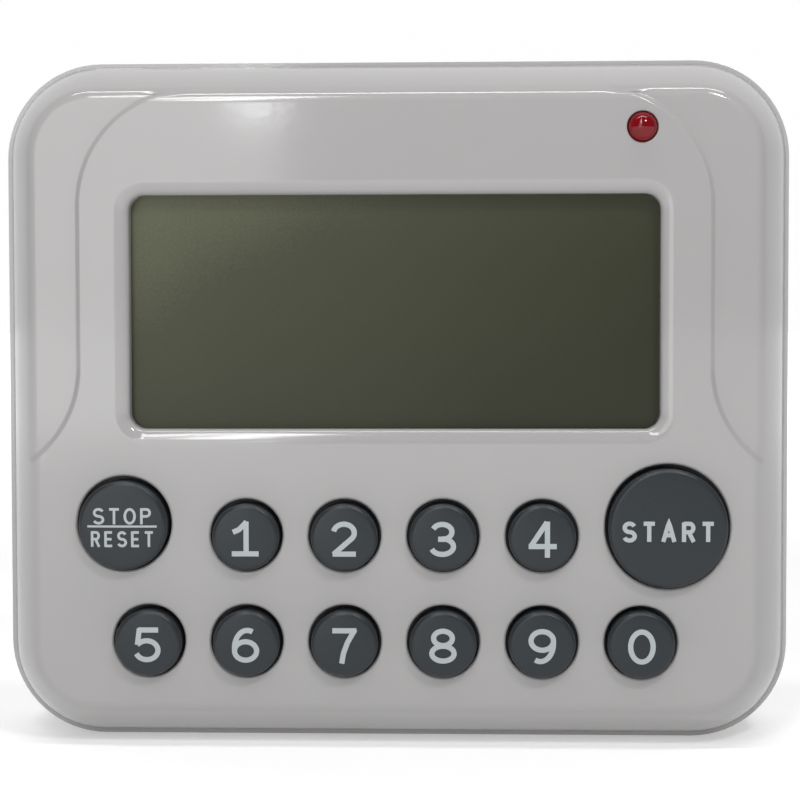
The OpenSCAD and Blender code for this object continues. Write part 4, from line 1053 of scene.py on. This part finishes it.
# --------------------------------------
# Magnets: two nickel-plated discs pressed into pockets in the rear shell, with chamfered
# edges.
# --------------------------------------
MAGNET_R = 5.0
MAGNET_PLACES = [(-28.3, 22.0), (28.3, 22.0)]
MAGNET_D = (20.0, 22.0)
nickel = metal("nickel_plate", (0.70, 0.69, 0.66), 0.18, scratch=0.08)
edge = [(MAGNET_R - 0.25, 0), (MAGNET_R - 0.08, 0.07), (MAGNET_R, 0.25)]
disc = [(0, MAGNET_D[0])] + [(r, MAGNET_D[0] + d) for r, d in edge]
disc += [(r, MAGNET_D[1] - d) for r, d in edge[::-1]] + [(0, MAGNET_D[1])]
pair = together(*[lathe(disc, p, 72) for p in MAGNET_PLACES])
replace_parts(finished("disc_magnets", *pair, nickel, "case", "steel"), "magnets")
dress(nickel, "magnets")

# --------------------------------------
# Cell: one AAA cell. The steel can has a crimped end, a raised button and a plastic seal;
# the printed sleeve is shrunk over it and rolls over both shoulders.
# --------------------------------------
CELL_D = 14.55
CELL_Z = 55.0
CELL_R = 5.25
CELL_MINUS = -20.25
CELL_PLUS = 24.25
BUTTON_LEN = 0.9
SLEEVE_T = 0.13
can_r = CELL_R - SLEEVE_T
shoulder = CELL_PLUS - BUTTON_LEN
can_line = [(0, CELL_MINUS + 0.12), (3.0, CELL_MINUS + 0.12), (3.3, CELL_MINUS),
            (4.2, CELL_MINUS), (can_r - 0.25, CELL_MINUS + 0.12), (can_r, CELL_MINUS + 0.5),
            (can_r, shoulder - 1.5), (can_r - 0.18, shoulder - 1.1), (can_r, shoulder - 0.7),
            (can_r - 0.12, shoulder - 0.12), (can_r - 0.6, shoulder), (3.6, shoulder),
            (3.3, shoulder - 0.25), (2.3, shoulder - 0.25), (2.1, shoulder), (1.95, shoulder),
            (1.9, shoulder + 0.3), (1.85, CELL_PLUS - 0.2), (1.6, CELL_PLUS), (0, CELL_PLUS)]
can_steel = metal("can_steel", (0.62, 0.62, 0.61), 0.25)
can = finished("cell_can", *lathe(can_line, (CELL_D, CELL_Z), 72, "x"), can_steel, "case", "steel")
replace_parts(can, "battery_can")
dress(can_steel, "battery_can")


def printed_sleeve():
    """Green shrink sleeve with a pale band at its positive end and a fine varnish."""
    paint = grained("printed_sleeve", (0.03, 0.16, 0.07), (0.02, 0.12, 0.05), 0.25, 2 * MM)
    ground = paint.shader["Base Color"].links[0].from_socket
    x = paint.node("SeparateXYZ", {0: paint.where})["X"]
    bands = paint.node("MapRange", {"From Min": CELL_MINUS * MM, "From Max": CELL_PLUS * MM,
                                    "Value": x})
    stops = paint.tree.nodes.new("ShaderNodeValToRGB")
    stops.color_ramp.interpolation = "CONSTANT"
    stops.color_ramp.elements[0].color = (0, 0, 0, 1)
    stops.color_ramp.elements[1].position = 0.72
    stops.color_ramp.elements[1].color = (1, 1, 1, 1)
    for at, shade in ((0.14, 1), (0.16, 0), (0.90, 0)):
        stops.color_ramp.elements.new(at).color = (shade, shade, shade, 1)
    paint.tree.links.new(bands["Result"], stops.inputs["Fac"])
    # Of a mixing node's inputs, 6 and 7 are its two colours
    mixed = paint.node("Mix", {"Factor": stops.outputs["Color"], 6: ground,
                               7: (0.55, 0.56, 0.52, 1)}, data_type="RGBA")
    paint.feed("Base Color", mixed[2])
    return paint.material


sleeve_line = [(can_r + 0.01, CELL_MINUS + 0.6), (CELL_R - 0.03, CELL_MINUS + 0.6),
               (CELL_R, CELL_MINUS + 0.8), (CELL_R, shoulder - 1.6),
               (CELL_R - 0.04, shoulder - 1.2), (CELL_R, shoulder - 0.8),
               (CELL_R - 0.03, shoulder - 0.6), (can_r + 0.01, shoulder - 0.6),
               (can_r + 0.01, CELL_MINUS + 0.6)]
sleeve_print = printed_sleeve()
sleeve = finished("cell_sleeve", *lathe(sleeve_line, (CELL_D, CELL_Z), 72, "x"), sleeve_print,
                  "case", "sleeve")
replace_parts(sleeve, "battery_sleeve")
dress(sleeve_print, "battery_sleeve")

# --------------------------------------
# Battery contacts: nickel-plated spring steel. The negative one carries a conical coil
# spring wound from 0.6 mm wire, with a dead turn at each end.
# --------------------------------------
PLATE_X = 24.8
PLATE_HALF_T = 0.2
TAB_END_X = 27.5
TAB_D = 14.35
SPRING_R = (3.9, 2.5)
SPRING_TURNS = 4
WIRE_R = 0.3


def swept(path, radius, sides=12):
    """A round bar along a path, capped at both ends."""
    p = np.array(path, float)
    ahead = np.gradient(p, axis=0)
    ahead = ahead / np.linalg.norm(ahead, axis=1)[:, None]
    side = np.cross(ahead, (1.0, 0.0, 0.0))
    side = side / np.linalg.norm(side, axis=1)[:, None]
    up = np.cross(side, ahead)
    points, faces = [], []
    for centre, u, v in zip(p, side, up):
        points += [tuple(centre + radius * (u * math.cos(t) + v * math.sin(t)))
                   for t in np.arange(sides) * 2 * math.pi / sides]
    for i in range(len(p) - 1):
        for k in range(sides):
            a, b = i * sides + k, i * sides + (k + 1) % sides
            faces.append((a, b, b + sides, a + sides))
    last = (len(p) - 1) * sides
    return points, faces + [list(range(sides)), list(range(last, last + sides))]


def plate(x_0, x_1, depth_mid, z_mid, width_d, width_z, radius):
    """A flat plate across the x axis, with round corners."""
    loop = rounded_loop(width_d, width_z, radius, 6, (1, 1))
    n = len(loop)
    points = [(x, depth_mid + u, z_mid + v) for x in (x_0, x_1) for u, v in loop]
    faces = [(i, (i + 1) % n, n + (i + 1) % n, n + i) for i in range(n)]
    return points, faces + [list(range(n)), list(range(n, 2 * n))]


steps = 48 * SPRING_TURNS
coil = []
for i in range(steps + 1):
    t = i / steps
    rise = min(max((t - 0.12) / 0.76, 0), 1)
    r = SPRING_R[0] + (SPRING_R[1] - SPRING_R[0]) * t
    angle = 2 * math.pi * SPRING_TURNS * t
    room = CELL_MINUS + PLATE_X - PLATE_HALF_T - 2 * WIRE_R
    x = -PLATE_X + PLATE_HALF_T + WIRE_R + room * rise
    coil.append((x, CELL_D + r * math.cos(angle), CELL_Z + r * math.sin(angle)))
base = plate(-PLATE_X - PLATE_HALF_T, -PLATE_X + PLATE_HALF_T, CELL_D, CELL_Z, 9, 9, 1.0)
tab = plate(-TAB_END_X, -PLATE_X - 0.1, TAB_D, CELL_Z, 0.4, 2.0, 0.15)
negative = together(swept(coil, WIRE_R), base, tab)
spring = finished("negative_contact", *negative, nickel, "case", "steel")
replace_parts(spring, "battery_spring")
dress(nickel, "battery_spring", "battery_contact")
ease_edges("battery_contact", 0.08 * MM)

# --------------------------------------
# Circuit board: green solder mask on glass laminate, with copper tracks under the mask,
# tinned pads, twelve carbon-plated comb contacts for the keys, and its small parts.
# --------------------------------------
solder_mask = grained("solder_mask", (0.018, 0.115, 0.045), (0.012, 0.085, 0.034), 0.30,
                      0.5 * MM)
dress(solder_mask.material, "circuit_board")
covered_track = grained("covered_track", (0.030, 0.19, 0.075), (0.022, 0.15, 0.06), 0.28,
                        0.5 * MM)
tin = metal("tinned_pad", (0.72, 0.72, 0.70), 0.35)
carbon = moulded("carbon_ink", (0.022, 0.022, 0.024), 0.55, mottle=0.1)
BOARD_BACK = 7.2
TRACK_HALF_W = 0.15
TRACK_T = 0.035
COMB_BARS = 5


def bar(x_0, x_1, z_0, z_1, d_0, d_1):
    """A thin strip on the board."""
    corners = ((x_0, z_0), (x_1, z_0), (x_1, z_1), (x_0, z_1))
    points = [(x, d, z) for d in (d_0, d_1) for x, z in corners]
    return points, [(0, 1, 2, 3), (4, 5, 6, 7), (0, 1, 5, 4), (1, 2, 6, 5), (2, 3, 7, 6),
                    (3, 0, 4, 7)]


combs = []
for name, (_, hole_r) in keys.items():
    reach = 1.45 if hole_r < 4 else 2.5
    mid_x, mid_z = cap_place(name)
    for i in range(COMB_BARS):
        x = mid_x + (i - COMB_BARS // 2) * reach * 0.45
        z = mid_z + (0.25 if i % 2 else -0.25)
        combs.append(bar(x - reach * 0.12, x + reach * 0.12, z - reach, z + reach,
                         BOARD_D - 0.03, BOARD_D + 0.01))
finished("comb_contacts", *together(*combs), carbon, "case", "carbon")
tracks = []
for i in range(9):
    x, z = -14.0 + i * 3.5, 8.0 + (i % 3) * 1.2
    tracks.append(bar(x - TRACK_HALF_W, x + TRACK_HALF_W, z, 27.0, BOARD_BACK - 0.01,
                      BOARD_BACK + TRACK_T))
    tracks.append(bar(x - TRACK_HALF_W, x + 12.0 - i * 2.2, z - TRACK_HALF_W,
                      z + TRACK_HALF_W, BOARD_BACK - 0.01, BOARD_BACK + TRACK_T + 0.001))
for i in range(11):
    z = 43.5 + i * 1.6
    tracks.append(bar(-20.0 + i, 22.0 - i * 1.5, z - TRACK_HALF_W, z + TRACK_HALF_W,
                      BOARD_BACK - 0.01, BOARD_BACK + TRACK_T))
finished("board_tracks", *together(*tracks), covered_track.material, "case", "board")
JOINT_PLACES = ((-20.0, 28.6), (20.0, 41.0), (-17.6, 31.2), (17.6, 31.2), (-22.0, 43.0),
                (22.0, 43.0))
solder_line = [(0, -0.01), (0.75, -0.01), (0.72, 0.06), (0.3, 0.22), (0, 0.26)]
pads = [lathe([(r, BOARD_BACK + d) for r, d in solder_line], p, 24) for p in JOINT_PLACES]
finished("solder_joints", *together(*pads), tin, "case", "steel")
dress(moulded("black_resin", (0.012, 0.012, 0.013), 0.22, mottle=0.2, peel=0.12), "chip_cover")
dress(metal("crystal_can", (0.68, 0.68, 0.66), 0.22), "crystal")
dress(moulded("chip_parts", (0.16, 0.12, 0.085), 0.4, mottle=0.15), "board_components")
dress(tin, "led_leads")

# --------------------------------------
# Keypad mat: one translucent grey silicone moulding. Under every key it has a boss, which
# the key's stem rests on, and a thin skirt that gives way when the key is pressed. A round
# carbon contact is moulded into the underside of each boss.
# --------------------------------------
MAT_W = 68.0
MAT_LOW_Z = 4.56
MAT_TOP_Z = 28.6
WEB_D = 5.2
SKIRT_D = 4.4
PILL_D = 5.0

mat_silicone = moulded("mat_silicone", (0.42, 0.43, 0.42), 0.55, mottle=0.04, peel=0.10)
mat_silicone.node_tree.nodes["Principled BSDF"].inputs["Subsurface Weight"].default_value = 0.15


def holed_plate(loop, inside, holes, depth_0, depth_1):
    """A flat plate with round holes, given as (place, radius)."""
    loops = [loop] + [ring(place, r, 40) for place, r in holes]
    tests = [lambda m, place=place, r=r:
             np.hypot(m[:, 0] - place[0], m[:, 1] - place[1]) > r * 0.997 for place, r in holes]
    flat, tri = sheet_between(loops, [], tests, inside)
    n = len(flat)
    points = [(x, depth_0, z) for x, z in flat] + [(x, depth_1, z) for x, z in flat]
    faces = [tuple(t) for t in tri] + [tuple(t[::-1] + n) for t in tri]
    edges = {(int(a), int(b)) for t in tri for a, b in zip(t, np.roll(t, -1))}
    return points, faces + [(a, b, b + n, a + n) for a, b in edges if (b, a) not in edges]


mat_mid_z = (MAT_LOW_Z + MAT_TOP_Z) / 2
mat_h = MAT_TOP_Z - MAT_LOW_Z
mat_edge = rounded_loop(MAT_W - 0.04, mat_h, 1.0, 6, (2, 2)) + (0, mat_mid_z)
domes = [(cap_place(name), r - KEY_GAP - 0.1) for name, (_, r) in keys.items()]
reliefs = [(p, 3.0) for p in case_places if p[1] < MAT_TOP_Z] + [(BOARD_POSTS[4], 2.6)]
mat_sheet = holed_plate(mat_edge, lambda m: box_inset(m, MAT_W, mat_h, 1.0, mat_mid_z) > 0,
                        domes + reliefs, WEB_D, BOARD_D)
sheet = finished("mat_sheet", *mat_sheet, mat_silicone, "case", "rubber")
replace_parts(sheet, "keypad_mat")
dress(mat_silicone, "keypad_mat")
for name, (_, hole_r) in keys.items():
    centre = cap_place(name)
    cap_r = hole_r - KEY_GAP
    boss_r = cap_r - STEM_INSET
    turned("mat_boss_" + short(name), [(0, STEM_D), (boss_r - 0.12, STEM_D),
                                       (boss_r, STEM_D + 0.12), (boss_r, PILL_D - 0.05),
                                       (boss_r - 0.1, PILL_D), (0, PILL_D)],
           centre, mat_silicone, name, 48, "rubber")
    skirt = turned("mat_skirt_" + short(name),
                   [(boss_r - 0.03, SKIRT_D), (boss_r + 0.25, SKIRT_D + 0.05),
                    (cap_r - 0.12, WEB_D), (cap_r - 0.12, BOARD_D), (cap_r - 0.6, BOARD_D),
                    (cap_r - 0.65, WEB_D + 0.2), (boss_r - 0.03, PILL_D - 0.1),
                    (boss_r - 0.03, SKIRT_D)], centre, mat_silicone, "case", 48, "rubber")
    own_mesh(skirt)
dress(carbon, *[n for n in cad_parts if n.startswith("carbon_pill")])

# --------------------------------------
# Sounder and wires: a brass disc with a ceramic layer glued behind the sound holes. Red and
# black wires in soft PVC run from it and from the battery contacts to the board.
# --------------------------------------
dress(metal("sounder_brass", (0.78, 0.57, 0.26), 0.30), "sounder_disc")
dress(moulded("sounder_ceramic", (0.66, 0.64, 0.58), 0.5, mottle=0.06), "sounder_ceramic")
dress(moulded("red_pvc", (0.42, 0.014, 0.012), 0.38), "sounder_wire_red", "battery_wire_red")
dress(moulded("black_pvc", (0.015, 0.015, 0.016), 0.38), "sounder_wire_black",
      "battery_wire_black")
